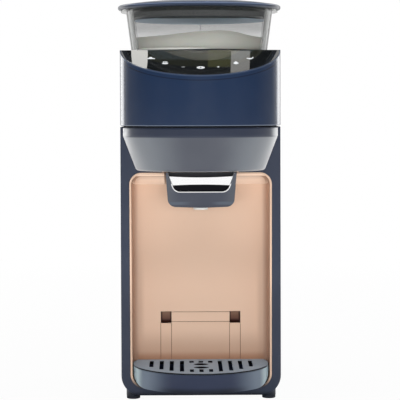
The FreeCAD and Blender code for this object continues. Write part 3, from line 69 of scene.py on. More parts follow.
# ---------------------------------------------------------------- camera
camera_distance = 1.6
camera_height = 0.294
camera_side = -0.018
aim_side = -0.0005
aim_height = 0.2405
lens = 144.4
roll = math.radians(-0.2)
shift_down = -0.1

camera_data = bpy.data.cameras.new("camera")
camera_data.lens = lens
camera_data.sensor_width = 36.0
camera_data.shift_y = shift_down
camera_data.clip_start = 0.05
camera_data.clip_end = 50.0
camera = linked("camera", camera_data)
camera.location = (camera_side, face_y - camera_distance, camera_height)
aim = Vector((aim_side, face_y, aim_height))
turned = (aim - camera.location).to_track_quat("-Z", "Y") @ Quaternion((0, 0, 1), roll)
camera.rotation_euler = turned.to_euler()
scene.camera = camera
scene.view_settings.view_transform = "Standard"


# ---------------------------------------------------------------- shader helpers
class Shader:
    """A node tree, with short ways to add and join nodes and the measures that masks are made of.

    limits are a pair: where a soft step starts and where it ends.
    """

    def __init__(self, tree):
        self.tree = tree
        self.tree.nodes.clear()

    def add(self, kind, **settings):
        node = self.tree.nodes.new(kind)
        for name, value in settings.items():
            setattr(node, name, value)
        return node

    def join(self, source, target):
        self.tree.links.new(source, target)

    def feed(self, target, value):
        """Joins a socket, or sets a plain value."""
        if isinstance(value, bpy.types.NodeSocket):
            self.join(value, target)
        else:
            target.default_value = value

    def math(self, operation, first, second=0.0):
        node = self.add("ShaderNodeMath", operation=operation)
        self.feed(node.inputs[0], first)
        self.feed(node.inputs[1], second)
        return node.outputs[0]

    def product(self, *values):
        result = values[0]
        for value in values[1:]:
            result = self.math("MULTIPLY", result, value)
        return result

    def above(self, value, limit):
        return self.math("GREATER_THAN", value, limit)

    def below(self, value, limit):
        return self.math("LESS_THAN", value, limit)

    def between(self, value, limits):
        """1 from the first limit to the second, with hard ends."""
        return self.product(self.above(value, limits[0]), self.below(value, limits[1]))

    def away(self, value, middle):
        """How far the value is from the middle."""
        return self.math("ABSOLUTE", self.math("SUBTRACT", value, middle))

    def step(self, value, limits, before, after):
        """A soft step: before up to the first limit, after from the second one on."""
        node = self.add("ShaderNodeMapRange", interpolation_type="SMOOTHSTEP")
        self.feed(node.inputs["Value"], value)
        node.inputs["From Min"].default_value = limits[0]
        node.inputs["From Max"].default_value = limits[1]
        node.inputs["To Min"].default_value = before
        node.inputs["To Max"].default_value = after
        return node.outputs["Result"]

    def rise(self, value, limits, top=1.0):
        """0 up to the first limit, top from the second one on."""
        return self.step(value, limits, 0.0, top)

    def fall(self, value, limits, top=1.0):
        """top up to the first limit, 0 from the second one on."""
        return self.step(value, limits, top, 0.0)

    def strip(self, value, rising, falling):
        """A strip that comes up over one pair of limits and goes down over the other."""
        return self.product(self.rise(value, rising), self.fall(value, falling))

    def mix(self, factor, first, second):
        node = self.add("ShaderNodeMix", data_type="RGBA")
        self.feed(node.inputs["Factor"], factor)
        for socket, value in ((node.inputs[6], first), (node.inputs[7], second)):
            self.feed(socket, rgba(value) if isinstance(value, tuple) else value)
        return node.outputs[2]

    def noise(self, scale, detail=3.0, place=None):
        node = self.add("ShaderNodeTexNoise")
        node.inputs["Scale"].default_value = scale
        node.inputs["Detail"].default_value = detail
        self.join(place or self.place(), node.inputs["Vector"])
        return node.outputs["Fac"]

    def bump(self, height, depth, strength):
        node = self.add("ShaderNodeBump")
        node.inputs["Distance"].default_value = depth
        node.inputs["Strength"].default_value = strength
        self.join(height, node.inputs["Height"])
        return node

    def place(self):
        return self.add("ShaderNodeTexCoord").outputs["Object"]

    def split(self, vector):
        node = self.add("ShaderNodeSeparateXYZ")
        self.join(vector, node.inputs[0])
        return node.outputs[0], node.outputs[1], node.outputs[2]

    def axes(self):
        """The place on the part, in metres."""
        return self.split(self.place())

    def aside(self):
        """The distance from the part's middle plane."""
        return self.math("ABSOLUTE", self.axes()[0])

    def depth(self):
        return self.axes()[1]

    def height(self):
        return self.axes()[2]

    def normal(self):
        """The way that the face looks, as x, y and z."""
        return self.split(self.add("ShaderNodeNewGeometry").outputs["Normal"])

    def turn(self):
        """How far the face turns to a side: 0 ahead, up or down, and 1 straight aside."""
        return self.math("ABSOLUTE", self.normal()[0])


def rgba(colour):
    return (*colour, 1.0)


def scaled(colour, by):
    return tuple(min(1.0, part * by) for part in colour)


def moved(limits, start):
    """Limits that are measured from the place start."""
    return (limits[0] + start, limits[1] + start)


def new_material(name):
    """A material with a principled shader: its output node, its shader helper and the shader's node."""
    material = bpy.data.materials.new(name)
    material.use_nodes = True
    shader = Shader(material.node_tree)
    output = shader.add("ShaderNodeOutputMaterial")
    body = shader.add("ShaderNodeBsdfPrincipled")
    shader.join(body.outputs[0], output.inputs["Surface"])
    return material, output, shader, body


# ---------------------------------------------------------------- plastic, metal and clear plastic
cloud_scale = 18.0
gloss_scale = 60.0
gloss_limits = (0.3, 0.7)
gloss_spread = 0.12
grain_detail = 2.0
grain_strength = 0.6
bevel_samples = 4


def plastic(name, colour, rough=0.35, vary=0.06, grain=900.0, grain_depth=0.00002, edge=0.0005,
            tones=(), varied=(), **sockets):
    """Moulded plastic: faint clouds in the colour, uneven gloss, fine grain and softened edges.

    Each of tones is (mask, colour): a function of the shader that marks where that colour is painted over the
    base colour; most tones here are painted light or painted shade.
    Each of varied is (socket, mask, off, on): a value that goes from off to on where the mask is 1.
    """
    material, _, shader, body = new_material(name)
    clouds = shader.noise(cloud_scale)
    shade = shader.mix(clouds, scaled(colour, 1 - vary), scaled(colour, 1 + vary))
    for mask, tone in tones:
        shade = shader.mix(mask(shader), shade, tone)
    shader.join(shade, body.inputs["Base Color"])
    gloss = shader.step(shader.noise(gloss_scale), gloss_limits,
                        rough * (1 - gloss_spread), rough * (1 + gloss_spread))
    shader.join(gloss, body.inputs["Roughness"])
    bump = shader.bump(shader.noise(grain, grain_detail), grain_depth, grain_strength)
    if edge:
        bevel = shader.add("ShaderNodeBevel", samples=bevel_samples)
        bevel.inputs["Radius"].default_value = edge
        shader.join(bevel.outputs[0], bump.inputs["Normal"])
    shader.join(bump.outputs[0], body.inputs["Normal"])
    for socket, value in sockets.items():
        body.inputs[socket.replace("_", " ")].default_value = value
    for socket, mask, off, on in varied:
        shader.join(shader.step(mask(shader), (0.0, 1.0), off, on), body.inputs[socket])
    return material


mark_scale = 90.0
mark_detail = 4.0
mark_shades = (0.94, 1.04)
mark_limits = (0.25, 0.75)
mark_gloss = (0.8, 1.25)
mark_strength = 0.5


def metal(name, colour, rough=0.2, stretch=(1.0, 1.0, 40.0), depth=0.00001):
    """Metal with fine marks drawn along one way."""
    material, _, shader, body = new_material(name)
    mapping = shader.add("ShaderNodeMapping")
    mapping.inputs["Scale"].default_value = stretch
    shader.join(shader.place(), mapping.inputs["Vector"])
    marks = shader.noise(mark_scale, mark_detail, mapping.outputs[0])
    shade = shader.mix(marks, *(scaled(colour, by) for by in mark_shades))
    shader.join(shade, body.inputs["Base Color"])
    gloss = shader.step(marks, mark_limits, *(rough * by for by in mark_gloss))
    shader.join(gloss, body.inputs["Roughness"])
    bump = shader.bump(marks, depth, mark_strength)
    shader.join(bump.outputs[0], body.inputs["Normal"])
    body.inputs["Metallic"].default_value = 1.0
    return material


# How far a thin wall has to turn away for its dense edge, and for the faint line beside it.
wall_edge = (0.62, 0.66)
wall_line_rise = (0.585, 0.605)
wall_line_fall = (0.615, 0.63)

wall_line_share = 0.2
rib_share = 0.12
rib_core = 0.8
lower_blend = 0.004
smoke_scale = 25.0
smoke_shades = (0.9, 1.1)
smoke_gloss = 1.8


def clear(name, colour, alpha, alpha_edge, edge_colour, rough=0.05, ior=1.5, level=0.5,
          lower=None, rib=None):
    """Thin clear plastic, faintly smoked, with a crisp denser strip where the wall is seen edge on.

    lower is (alpha, height): the wall below that height has that alpha.
    rib is (x, half width, heights) of an upright mould line at the front.
    """
    material, _, shader, body = new_material(name)
    clouds = shader.noise(smoke_scale)
    shade = shader.mix(clouds, *(scaled(colour, by) for by in smoke_shades))
    facing = shader.add("ShaderNodeLayerWeight").outputs["Facing"]
    edge = shader.rise(facing, wall_edge)
    line = shader.strip(facing, wall_line_rise, wall_line_fall)
    shader.join(shader.mix(edge, shade, edge_colour), body.inputs["Base Color"])
    gloss = shader.step(clouds, gloss_limits, rough, rough * smoke_gloss)
    shader.join(gloss, body.inputs["Roughness"])
    x, y, z = shader.axes()
    share = alpha
    if lower:
        lower_alpha, height = lower
        share = shader.step(z, moved((-lower_blend, lower_blend), height), lower_alpha, alpha)
    share = shader.math("ADD", share, shader.math("MULTIPLY", edge, alpha_edge - alpha))
    share = shader.math("ADD", share, shader.math("MULTIPLY", line, wall_line_share))
    if rib:
        middle, half, heights = rib
        marked = shader.product(shader.fall(shader.away(x, middle), (half * rib_core, half)),
                                shader.below(y, jar_axis_y), shader.between(z, heights))
        share = shader.math("ADD", share, shader.math("MULTIPLY", marked, rib_share))
    shader.join(share, body.inputs["Alpha"])
    body.inputs["IOR"].default_value = ior
    body.inputs["Specular IOR Level"].default_value = level
    return material


# Materials by material slot, and materials of single nodes that look different from their slot.
looks = {}
own_looks = {}

# How far a rounded front has turned aside where its tones change; the lighter tones on such sides are painted
# light and reflection.
aside_turn = (0.12, 0.6)
far_turn = (0.84, 0.98)
# Near-black painted shade, for hollows, slot rims and walls, the plug's top under the lid and the deck in the
# gap between head and column.
shade_black = (0.01, 0.011, 0.014)


def turned_aside(shader):
    """Faces of a rounded front that turn toward the sides."""
    return shader.rise(shader.turn(), aside_turn)


def far_aside(shader):
    """The ends of a rounded front, where it has turned almost to the side."""
    return shader.rise(shader.turn(), far_turn)


# ---------------------------------------------------------------- column
foot_shade_z = (0.0045, 0.0100)
slate = (0.0265, 0.0352, 0.0625)
foot_shade_slate = (0.006, 0.01, 0.02)


def foot_shade(shader):
    """Painted shade on the turned-under edge at the foot of the column."""
    return shader.fall(shader.height(), foot_shade_z)


looks["column_paint"] = plastic("column paint", slate, rough=0.33, tones=((foot_shade, foot_shade_slate),))

# ---------------------------------------------------------------- bay
lip_depth = 0.004
wall_y = -0.033
line_floor_y = (wall_y + 0.0002, wall_y + 0.0006)
pocket_y = (wall_y + 0.0006, wall_y + 0.0095)
pocket_high = 0.0845
pocket_top_z = (0.0745, 0.0835)
pocket_foot_z = (0.0722, 0.0755)
window_inner = 0.0299
window_outer = 0.041
window_edge = (-0.0022, -0.001)
pocket_side_share = 0.7
pocket_wall_ahead = 0.5

corner_reach = 0.012
corner_samples = 8
corner_closed = (0.3, 1.0)
corner_share = 0.9
corner_turn = (0.05, 0.5)
corner_z = (0.195, 0.216)
side_turn = (0.1, 0.9)
cove_lean = (-0.8, -0.05)

floor_z = (0.012, 0.026)
foot_wide_z = (0.034, 0.066)
foot_narrow_z = (0.034, 0.043)
foot_share = 0.5
low_x = (0.056, 0.062)
low_rise_z = (0.046, 0.07)
low_fall_z = (0.1, 0.15)

arch_x = 0.0584
arch_z = 0.2158
arch_line = (0.0074, 0.0083)
arch_shade = (0.003, 0.0076)
arch_shade_share = 0.4
arch_depth = 0.008
arch_rise_z = (0.2125, 0.2205)

beige = (0.72, 0.51, 0.38)
# The colours after beige are painted light and shade on the liner: the lighter ones are painted light, the
# darker ones painted shade.
low_light_beige = (0.81, 0.575, 0.43)
foot_shade_beige = (0.42, 0.225, 0.14)
side_shade_beige = (0.55, 0.345, 0.25)
corner_shade_beige = (0.4, 0.24, 0.17)
cove_light_beige = (0.98, 0.78, 0.63)
groove_shade_brown = (0.38, 0.24, 0.165)
bay_floor_shade_grey = (0.05, 0.042, 0.045)
pocket_shade_brown = (0.17, 0.072, 0.045)
pocket_top_light_brown = (0.29, 0.16, 0.1)
pocket_edge_shade_brown = (0.03, 0.004, 0.001)
pocket_wall_shade_brown = (0.05, 0.015, 0.008)
line_shade_brown = (0.16, 0.07, 0.035)


def bay_inside(shader):
    """The bay behind its front lip."""
    return shader.above(shader.depth(), bay_front_y + lip_depth)


def bay_side_shade(shader):
    """Painted shade on the side walls of the bay, which are darker than its back."""
    return shader.product(shader.rise(shader.turn(), side_turn), bay_inside(shader))


def bay_foot_shade(shader):
    """Painted shade on the lower back wall, darker toward the tray."""
    height = shader.height()
    wide = shader.fall(height, foot_wide_z, foot_share)
    narrow = shader.fall(height, foot_narrow_z, foot_share)
    return shader.product(shader.math("ADD", wide, narrow), bay_inside(shader))


def bay_low_light(shader):
    """Painted light on the back wall below its middle, which is a little lighter."""
    return shader.product(shader.fall(shader.aside(), low_x),
                          shader.strip(shader.height(), low_rise_z, low_fall_z))


def bay_floor_shade(shader):
    """Painted shade on the bay's foot, below the tray."""
    return shader.fall(shader.height(), floor_z)


def corner(shader):
    """Painted shade in the narrow corners of the bay, from ambient occlusion."""
    node = shader.add("ShaderNodeAmbientOcclusion", samples=corner_samples)
    node.inputs["Distance"].default_value = corner_reach
    closed = shader.fall(node.outputs["AO"], corner_closed, corner_share)
    return shader.product(closed, shader.rise(shader.turn(), corner_turn),
                          shader.fall(shader.height(), corner_z))


def cove(shader):
    """Painted light on the cove under the bay's ceiling, which faces down."""
    return shader.fall(shader.normal()[2], cove_lean)


def ceiling_groove_shade(shader):
    """Painted shade: the dark line between the bay's front lip and its cove, following the rounded corners,
    with a softer band of shade inside it.
    """
    x, y, z = shader.axes()
    beyond = shader.math("MAXIMUM", shader.math("SUBTRACT", shader.math("ABSOLUTE", x), arch_x), 0.0)
    above = shader.math("MAXIMUM", shader.math("SUBTRACT", z, arch_z), 0.0)
    squares = shader.math("ADD", shader.product(beyond, beyond), shader.product(above, above))
    out = shader.math("SQRT", squares)
    band = shader.math("MAXIMUM", shader.rise(out, arch_line),
                       shader.rise(out, arch_shade, arch_shade_share))
    return shader.product(band, shader.above(y, bay_front_y + arch_depth), shader.rise(z, arch_rise_z))


def pocket(shader):
    """The window pockets in the back of the bay, painted darker as shade in the recess."""
    return shader.product(shader.between(shader.depth(), pocket_y),
                          shader.below(shader.height(), pocket_high))


def pocket_top(shader):
    """Painted light on the lighter upper end of the pockets."""
    return shader.product(pocket(shader), shader.rise(shader.height(), pocket_top_z))


def pocket_foot(shader):
    """Painted shade on the dark lower end of the pockets."""
    return shader.product(pocket(shader), shader.fall(shader.height(), pocket_foot_z))


def pocket_side(shader):
    """Painted shade: narrow darker strips at both sides of the pockets' back."""
    away = shader.away(shader.aside(), (window_inner + window_outer) / 2)
    half = (window_outer - window_inner) / 2
    strips = shader.rise(away, moved(window_edge, half), pocket_side_share)
    return shader.product(pocket(shader), strips)


def pocket_wall(shader):
    """Painted shade on the pockets' walls, which don't look ahead."""
    ahead = shader.math("ABSOLUTE", shader.normal()[1])
    return shader.product(pocket(shader), shader.below(ahead, pocket_wall_ahead))


def panel_line(shader):
    """Painted shade in the fine lines cut in the back wall."""
    return shader.between(shader.depth(), line_floor_y)


looks["liner"] = plastic(
    "liner", beige, rough=0.4, vary=0.01, grain_depth=0.00001,
    tones=((bay_low_light, low_light_beige), (bay_foot_shade, foot_shade_beige), (bay_side_shade, side_shade_beige), (corner, corner_shade_beige),
           (cove, cove_light_beige), (ceiling_groove_shade, groove_shade_brown), (bay_floor_shade, bay_floor_shade_grey),
           (pocket, pocket_shade_brown), (pocket_top, pocket_top_light_brown), (pocket_side, pocket_edge_shade_brown),
           (pocket_foot, pocket_edge_shade_brown), (pocket_wall, pocket_wall_shade_brown), (panel_line, line_shade_brown)))

# ---------------------------------------------------------------- head
rim_high = 0.0009
bead_depth = (0.0009, 0.0013)
crease_rise = (0.0040, 0.0044)
crease_fall = (0.0048, 0.0054)
navy = (0.0135, 0.03, 0.0745)
rim_highlight_blue = (0.11, 0.14, 0.2)
bead_highlight_blue = (0.045, 0.07, 0.13)
crease_shade_navy = (0.008, 0.014, 0.03)


def head_rim_highlight(shader):
    """Painted highlight: the light edge round the foot of the head."""
    return shader.below(shader.height(), head_low.z + rim_high)


def below_panel(shader):
    """How far a point of the head lies below the panel's plane."""
    _, y, z = shader.axes()
    rise = shader.math("MULTIPLY", shader.math("SUBTRACT", y, panel_back_y), panel_slope)
    return shader.math("SUBTRACT", shader.math("ADD", rise, panel_back_z), z)


def panel_bead_highlight(shader):
    """Painted highlight on the rounded edge round the panel."""
    return shader.product(shader.fall(below_panel(shader), bead_depth),
                          shader.below(shader.depth(), panel_back_y))


def panel_crease_shade(shader):
    """Painted shade: the dark crease below the panel's edge."""
    return shader.strip(below_panel(shader), crease_rise, crease_fall)


looks["head_paint"] = plastic(
    "head paint", navy, rough=0.16,
    tones=((head_rim_highlight, rim_highlight_blue), (panel_bead_highlight, bead_highlight_blue), (panel_crease_shade, crease_shade_navy)))
looks["black_glass"] = plastic("black glass", (0.014, 0.016, 0.018), rough=0.03, grain_depth=0.0,
                               edge=0.0003, IOR=1.7)
# The deck is near-black so that the gap between the head and the column shows as a dark line: a dark sheet
# standing for shade.
own_looks["mid_deck"] = plastic("deck black", shade_black, rough=0.8, IOR=1.2)

# ---------------------------------------------------------------- spout cowl
band_z = (0.2632, 0.2645)
band_turn = (0.8, 0.97)
cowl_navy = (0.019, 0.027, 0.05)
cowl_aside_light_grey = (0.092, 0.11, 0.135)
cowl_far_light_grey = (0.16, 0.18, 0.2)
band_shade_navy = (0.017, 0.025, 0.052)


def cowl_band(shader):
    """The upright upper band of the cowl, except where it turns to the sides: painted shade under the head.
    """
    return shader.product(shader.rise(shader.height(), band_z), shader.fall(shader.turn(), band_turn))


# The cowl's lighter sides are painted light and reflection.
looks["cowl_paint"] = plastic(
    "cowl paint", cowl_navy, rough=0.42, IOR=1.9, Sheen_Roughness=0.5,
    tones=((turned_aside, cowl_aside_light_grey), (far_aside, cowl_far_light_grey), (cowl_band, band_shade_navy)),
    varied=(("Sheen Weight", cowl_band, 0.9, 0.1), ("Specular IOR Level", cowl_band, 0.5, 0.28)))

# ---------------------------------------------------------------- funnel drawer
plate_thick = 0.0031
drawer_side_x = (0.018, 0.033)
drawer_foot_z = (0.1965, 0.2000)
glint_x = (0.008, 0.02)
glint_rise_z = (0.1982, 0.1992)
glint_fall_z = (0.2008, 0.2020)
drawer_grey = (0.038, 0.046, 0.072)
drawer_side_light_grey = (0.068, 0.077, 0.1)
drawer_foot_shade_grey = (0.034, 0.042, 0.065)
glint_highlight_grey = (0.07, 0.09, 0.125)


def drawer_side_light(shader):
    """Painted light on the lighter ends of the drawer's front."""
    return shader.rise(shader.aside(), drawer_side_x)


def drawer_foot_shade(shader):
    """Painted shade on the darker lower edge of the drawer's front."""
    return shader.fall(shader.height(), drawer_foot_z)


def drawer_glint(shader):
    """Painted highlight on the rounded edge low on the drawer's front."""
    return shader.product(shader.rise(shader.aside(), glint_x),
                          shader.strip(shader.height(), glint_rise_z, glint_fall_z))


def pull_inside(shader):
    """Painted shade in the hollow behind the drawer's front plate."""
    return shader.above(shader.depth(), drawer_front_y + plate_thick)


own_looks["drawer_body"] = plastic(
    "drawer paint", drawer_grey, rough=0.38, IOR=1.7, Sheen_Weight=0.4, Sheen_Roughness=0.35,
    tones=((drawer_side_light, drawer_side_light_grey), (drawer_foot_shade, drawer_foot_shade_grey), (drawer_glint, glint_highlight_grey),
           (pull_inside, shade_black)))
own_looks["trim_lens"] = plastic("lens black", (0.004, 0.004, 0.006), rough=0.1, IOR=1.15)

# ---------------------------------------------------------------- drip tray
tray_foot_z = (0.0145, 0.0205)
tray_foot_turn = (0.35, 0.75)
tray_turn = (0.4, 0.97)
tray_blue = (0.024, 0.034, 0.073)
tray_aside_light_blue = (0.19, 0.24, 0.31)
tray_far_light_blue = (0.85, 1.0, 1.0)
tray_foot_shade_navy = (0.004, 0.007, 0.018)
tray_sheen = (0.6, 0.85, 1.0)


def tray_aside_light(shader):
    """Painted light and reflection on the tray's rounded ends, lighter and lighter toward the sides."""
    return shader.rise(shader.turn(), tray_turn)


def tray_foot_shade(shader):
    """Painted shade on the dark lower edge of the tray's front."""
    return shader.product(shader.fall(shader.turn(), tray_foot_turn),
                          shader.fall(shader.height(), tray_foot_z))


# The lighter tones at the tray's ends are painted light and reflection.
own_looks["drip_tray"] = plastic(
    "tray paint", tray_blue, rough=0.42, IOR=1.5, Sheen_Roughness=0.5, Sheen_Tint=rgba(tray_sheen),
    tones=((tray_aside_light, tray_aside_light_blue), (far_aside, tray_far_light_blue), (tray_foot_shade, tray_foot_shade_navy)),
    varied=(("Sheen Weight", far_aside, 0.2, 1.0),))

# ---------------------------------------------------------------- drip grid
wall_lean = 0.5
oval_rims = ((0.0138, 0.0063), (-0.0062, 0.0062))   # distance behind the column's face, half depth
oval_bow = 90.0
oval_half = 0.0075
dash_depth = 0.0300
dash_aside = 0.0095
dash_half = 0.0023
dash_half_depth = 0.0048
grid_blue = (0.17, 0.215, 0.27)
grid_sheen = (0.7, 0.85, 1.0)


def slot_wall(shader):
    """Painted shade on the walls of the grid's slots and on its rim's lower edge."""
    return shader.below(shader.math("ABSOLUTE", shader.normal()[2]), wall_lean)


def slot_rim(shader):
    """Painted shade in dark rims round the small slots in the middle of the grid: two bowed ovals and three
    dashes.
    """
    x, y, _ = shader.axes()
    aside = shader.math("ABSOLUTE", x)
    bow = shader.math("MULTIPLY", shader.product(x, x), oval_bow)
    rim = 0.0
    for behind, half in oval_rims:
        bowed = shader.math("ADD", shader.away(y, face_y + behind), bow)
        oval = shader.product(shader.below(bowed, half), shader.below(aside, oval_half))
        rim = shader.math("MAXIMUM", rim, oval)
    beside = shader.math("MINIMUM", aside, shader.away(aside, dash_aside))
    dash = shader.product(shader.below(beside, dash_half),
                          shader.below(shader.away(y, face_y + dash_depth), dash_half_depth))
    return shader.math("MAXIMUM", rim, dash)


own_looks["drip_grid"] = plastic(
    "grid paint", grid_blue, rough=0.6, IOR=1.3, Sheen_Roughness=0.3, Sheen_Tint=rgba(grid_sheen),
    tones=((slot_rim, shade_black), (slot_wall, shade_black)),
    varied=(("Sheen Weight", slot_rim, 0.7, 0.0), ("Specular IOR Level", slot_rim, 0.5, 0.1)))

# ---------------------------------------------------------------- hopper and its lid
under_high = (0.0008, 0.0024)
line_rise_high = (0.0026, 0.0032)
line_fall_high = (0.0036, 0.0042)
end_turn = (0.68, 0.92)
lid_navy = (0.02, 0.039, 0.088)
lid_line_highlight_blue = (0.2, 0.255, 0.38)
lid_under_shade_navy = (0.027, 0.038, 0.064)
lid_end_shade_navy = (0.012, 0.02, 0.045)
seal_grey = (0.16, 0.165, 0.17)

plug_top_z = (0.3895, 0.3907)
plug_middle_z = (0.3865, 0.3895)
plug_foot_high = 0.0019
disc_high = 0.0004
disc_front = (-0.056, -0.052)
plug_grey = (0.055, 0.057, 0.062)
plug_foot_shade_navy = (0.012, 0.018, 0.03)
plug_disc_light_blue = (0.63, 0.8, 1.0)

smoke = (0.06, 0.065, 0.06)
smoke_edge = (0.2, 0.21, 0.2)
jar_lower = (0.13, 0.371)                           # alpha, height
mould_line = (0.0004, 0.0007, (0.3695, 0.3757))     # x, half width, heights


def lid_under(shader):
    """Painted shade on the darker lower half of the lid's bead."""
    return shader.fall(shader.height(), moved(under_high, lid_foot_z))


def lid_line(shader):
    """Painted highlight: the lighter line round the lid's bead."""
    return shader.strip(shader.height(), moved(line_rise_high, lid_foot_z),
                        moved(line_fall_high, lid_foot_z))


def lid_end(shader):
    """The bead where it turns to the sides, painted darker as shade, with weaker gloss."""
    return shader.rise(shader.turn(), end_turn)


def plug_top(shader):
    """Painted shade on the dark upper end of the plug, under the lid."""
    return shader.rise(shader.height(), plug_top_z)


def plug_middle(shader):
    """The plug below its upper end."""
    return shader.fall(shader.height(), plug_middle_z)


def plug_foot(shader):
    """Painted shade on the plug's lower edge."""
    return shader.below(shader.height(), plug_foot_z + plug_foot_high)


def plug_disc(shader):
    """Painted light on the plug's flat underside, except its front edge."""
    return shader.product(shader.rise(shader.depth(), moved(disc_front, jar_axis_y)),
                          shader.below(shader.height(), plug_foot_z + disc_high))


own_looks["lid_cap"] = plastic(
    "lid paint", lid_navy, rough=0.34,
    tones=((lid_line, lid_line_highlight_blue), (lid_under, lid_under_shade_navy), (lid_end, lid_end_shade_navy)),
    varied=(("Specular IOR Level", lid_end, 0.5, 0.12),))
own_looks["lid_seal"] = plastic("seal grey", seal_grey, rough=0.6)
own_looks["lid_plug"] = plastic(
    "plug grey", plug_grey, rough=0.4,
    tones=((plug_middle, seal_grey), (plug_top, shade_black), (plug_foot, plug_foot_shade_navy), (plug_disc, plug_disc_light_blue)))
looks["clear_plastic"] = clear("clear plastic", smoke, alpha=0.22, alpha_edge=0.85, edge_colour=smoke_edge,
                               ior=1.35, level=0.12, lower=jar_lower, rib=mould_line)

# ---------------------------------------------------------------- trim, tank, inner and rear parts
looks["chrome"] = metal("chrome", (0.99, 0.99, 0.99), rough=0.05, depth=0.000002)
looks["steel"] = metal("steel", (0.56, 0.56, 0.57), rough=0.28)
looks["aluminium"] = metal("aluminium", (0.68, 0.69, 0.7), rough=0.4, stretch=(1.0, 1.0, 1.0))
looks["copper"] = metal("copper", (0.7, 0.5, 0.24), rough=0.25)
looks["dark_plastic"] = plastic("dark plastic", (0.022, 0.025, 0.031), rough=0.45)
looks["grey_plastic"] = plastic("grey plastic", (0.06, 0.068, 0.076), rough=0.4)
looks["white_plastic"] = plastic("white plastic", (0.78, 0.78, 0.75), rough=0.35, vary=0.02)
looks["rubber"] = plastic("rubber", (0.028, 0.031, 0.04), rough=0.75, grain=500.0, grain_depth=0.00006,
                          IOR=1.25)
looks["silicone"] = plastic("silicone", (0.62, 0.62, 0.6), rough=0.4, Subsurface_Weight=0.2)
looks["board"] = plastic("board", (0.02, 0.12, 0.05), rough=0.3, vary=0.15)
looks["tank_plastic"] = clear("tank plastic", (0.08, 0.11, 0.15), alpha=0.4, alpha_edge=0.6,
                              edge_colour=(0.1, 0.13, 0.17), rough=0.08)

slot_of = {part["node"]: part["material_slot"] for part in frame["record"]["subparts"]}
for name, node in frame["nodes"].items():
    for slot in node.material_slots:
        slot.material = own_looks.get(name, looks[slot_of[name]])


# ---------------------------------------------------------------- mesh helpers
def finish_mesh(name, shape, material, body, smooth=True):
    """Makes a piece of the drawn shape and lets it ride on the body."""
    bmesh.ops.recalc_face_normals(shape, faces=shape.faces)
    mesh = bpy.data.meshes.new(name)
    shape.to_mesh(mesh)
    shape.free()
    for polygon in mesh.polygons:
        polygon.use_smooth = smooth
    piece = linked(name, mesh)
    mesh.materials.append(material)
    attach(piece, body)


def round_jar(radius, angle, z):
    """A point at that radius and angle round the jar's axis."""
    return (radius * math.cos(angle), jar_axis_y + radius * math.sin(angle), z)


def next_pairs(ring):
    """Each member of a closed ring with the one after it."""
    return zip(ring, ring[1:] + ring[:1])


# ---------------------------------------------------------------- touch panel
proud = 0.00015
icon = 0.0032
icon_white = (0.9, 0.92, 0.92)
icon_glow = (0.9, 0.95, 1.0)
full_turn = 360.0


def on_panel(x, ahead):
    """Point just above the glass: x across, and ahead = distance in front of the panel's back edge."""
    return Vector((x, panel_back_y - ahead, panel_back_z - ahead * panel_slope + proud))


def laid(shape, outline, x, ahead, size):
    """Corners of an outline, given in units of size about its own middle, laid on the glass."""
    return [shape.verts.new(on_panel(x + u * size, ahead - v * size)) for u, v in outline]


def flat_shape(shape, x, ahead, size, outline, hole=None):
    """A filled outline on the glass, or the band between it and a hole with as many corners."""
    rim = laid(shape, outline, x, ahead, size)
    if hole:
        inner = laid(shape, hole, x, ahead, size)
        for (a, b), (c, d) in zip(next_pairs(rim), next_pairs(inner)):
            shape.faces.new((a, b, d, c))
    else:
        shape.faces.new(rim)


def disc(across, deep, count=20, start=0.0, turn=full_turn):
    """Outline of an ellipse or of a part of it, from the angle start over the angle turn."""
    corners = count if turn == full_turn else count + 1
    steps = [math.radians(start + turn * i / count) for i in range(corners)]
    return [(across * math.cos(a), deep * math.sin(a)) for a in steps]


def shifted(outline, u, v):
    return [(a + u, b + v) for a, b in outline]


peak = [(-1.35, -0.9), (1.35, -0.9), (1.1, -0.3), (0.45, -0.1), (0.2, 0.7), (-0.35, 0.7), (-0.8, -0.2)]
bowl = disc(1.0, 1.0, count=14, start=180.0, turn=180.0)
drop = [(0, 1.6), (0.75, 0.2), (0.7, -0.5), (0, -1.0), (-0.7, -0.5), (-0.75, 0.2)]
bar = [(-0.7, -0.18), (0.7, -0.18), (0.7, 0.18), (-0.7, 0.18)]
stem = [(-0.2, -0.6), (0.2, -0.6), (0.2, 0.6), (-0.2, 0.6)]
steam = [(0.8, shifted(stem, lean, 0.9)) for lean in (-0.6, 0, 0.6)]

# Each symbol is (x, distance ahead, strokes), and each stroke is (size in icons, outline, hole if any).
symbols = ((-0.0485, 0.0207, [(1.0, peak)]),
           (-0.0345, 0.0340, [(1.0, bowl), *steam]),
           (-0.0170, 0.0444, [(0.6, bar)]),
           (0.0, 0.0460, [(1.0, disc(1.25, 0.95), disc(0.3, 0.35))]),
           (0.0170, 0.0444, [(0.6, bar), (0.6, stem)]),
           (0.0345, 0.0350, [(1.0, drop)]),
           (0.0485, 0.0217, [(1.0, bowl), (0.8, shifted(stem, 1.2, 0.4))]))

icons = bmesh.new()
for x, ahead, strokes in symbols:
    for size, *outlines in strokes:
        flat_shape(icons, x, ahead, icon * size, *outlines)
icon_paint = plastic("icon paint", icon_white, rough=0.4, vary=0.01, edge=0.0,
                     Emission_Color=rgba(icon_glow), Emission_Strength=0.4)
finish_mesh("panel_icons", icons, icon_paint, "housing", smooth=False)

# ---------------------------------------------------------------- painted highlight: a bright bead at the jar's foot
bead_r = 0.0752
bead_z = 0.3518
bead_thick = 0.0012
bead_tip = 0.12
bead_lean = 0.6
bead_start = math.radians(214)
bead_end = math.radians(278)
bead_steps = 40
bead_sides = 8
bead_highlight_white = (0.88, 0.88, 0.82)

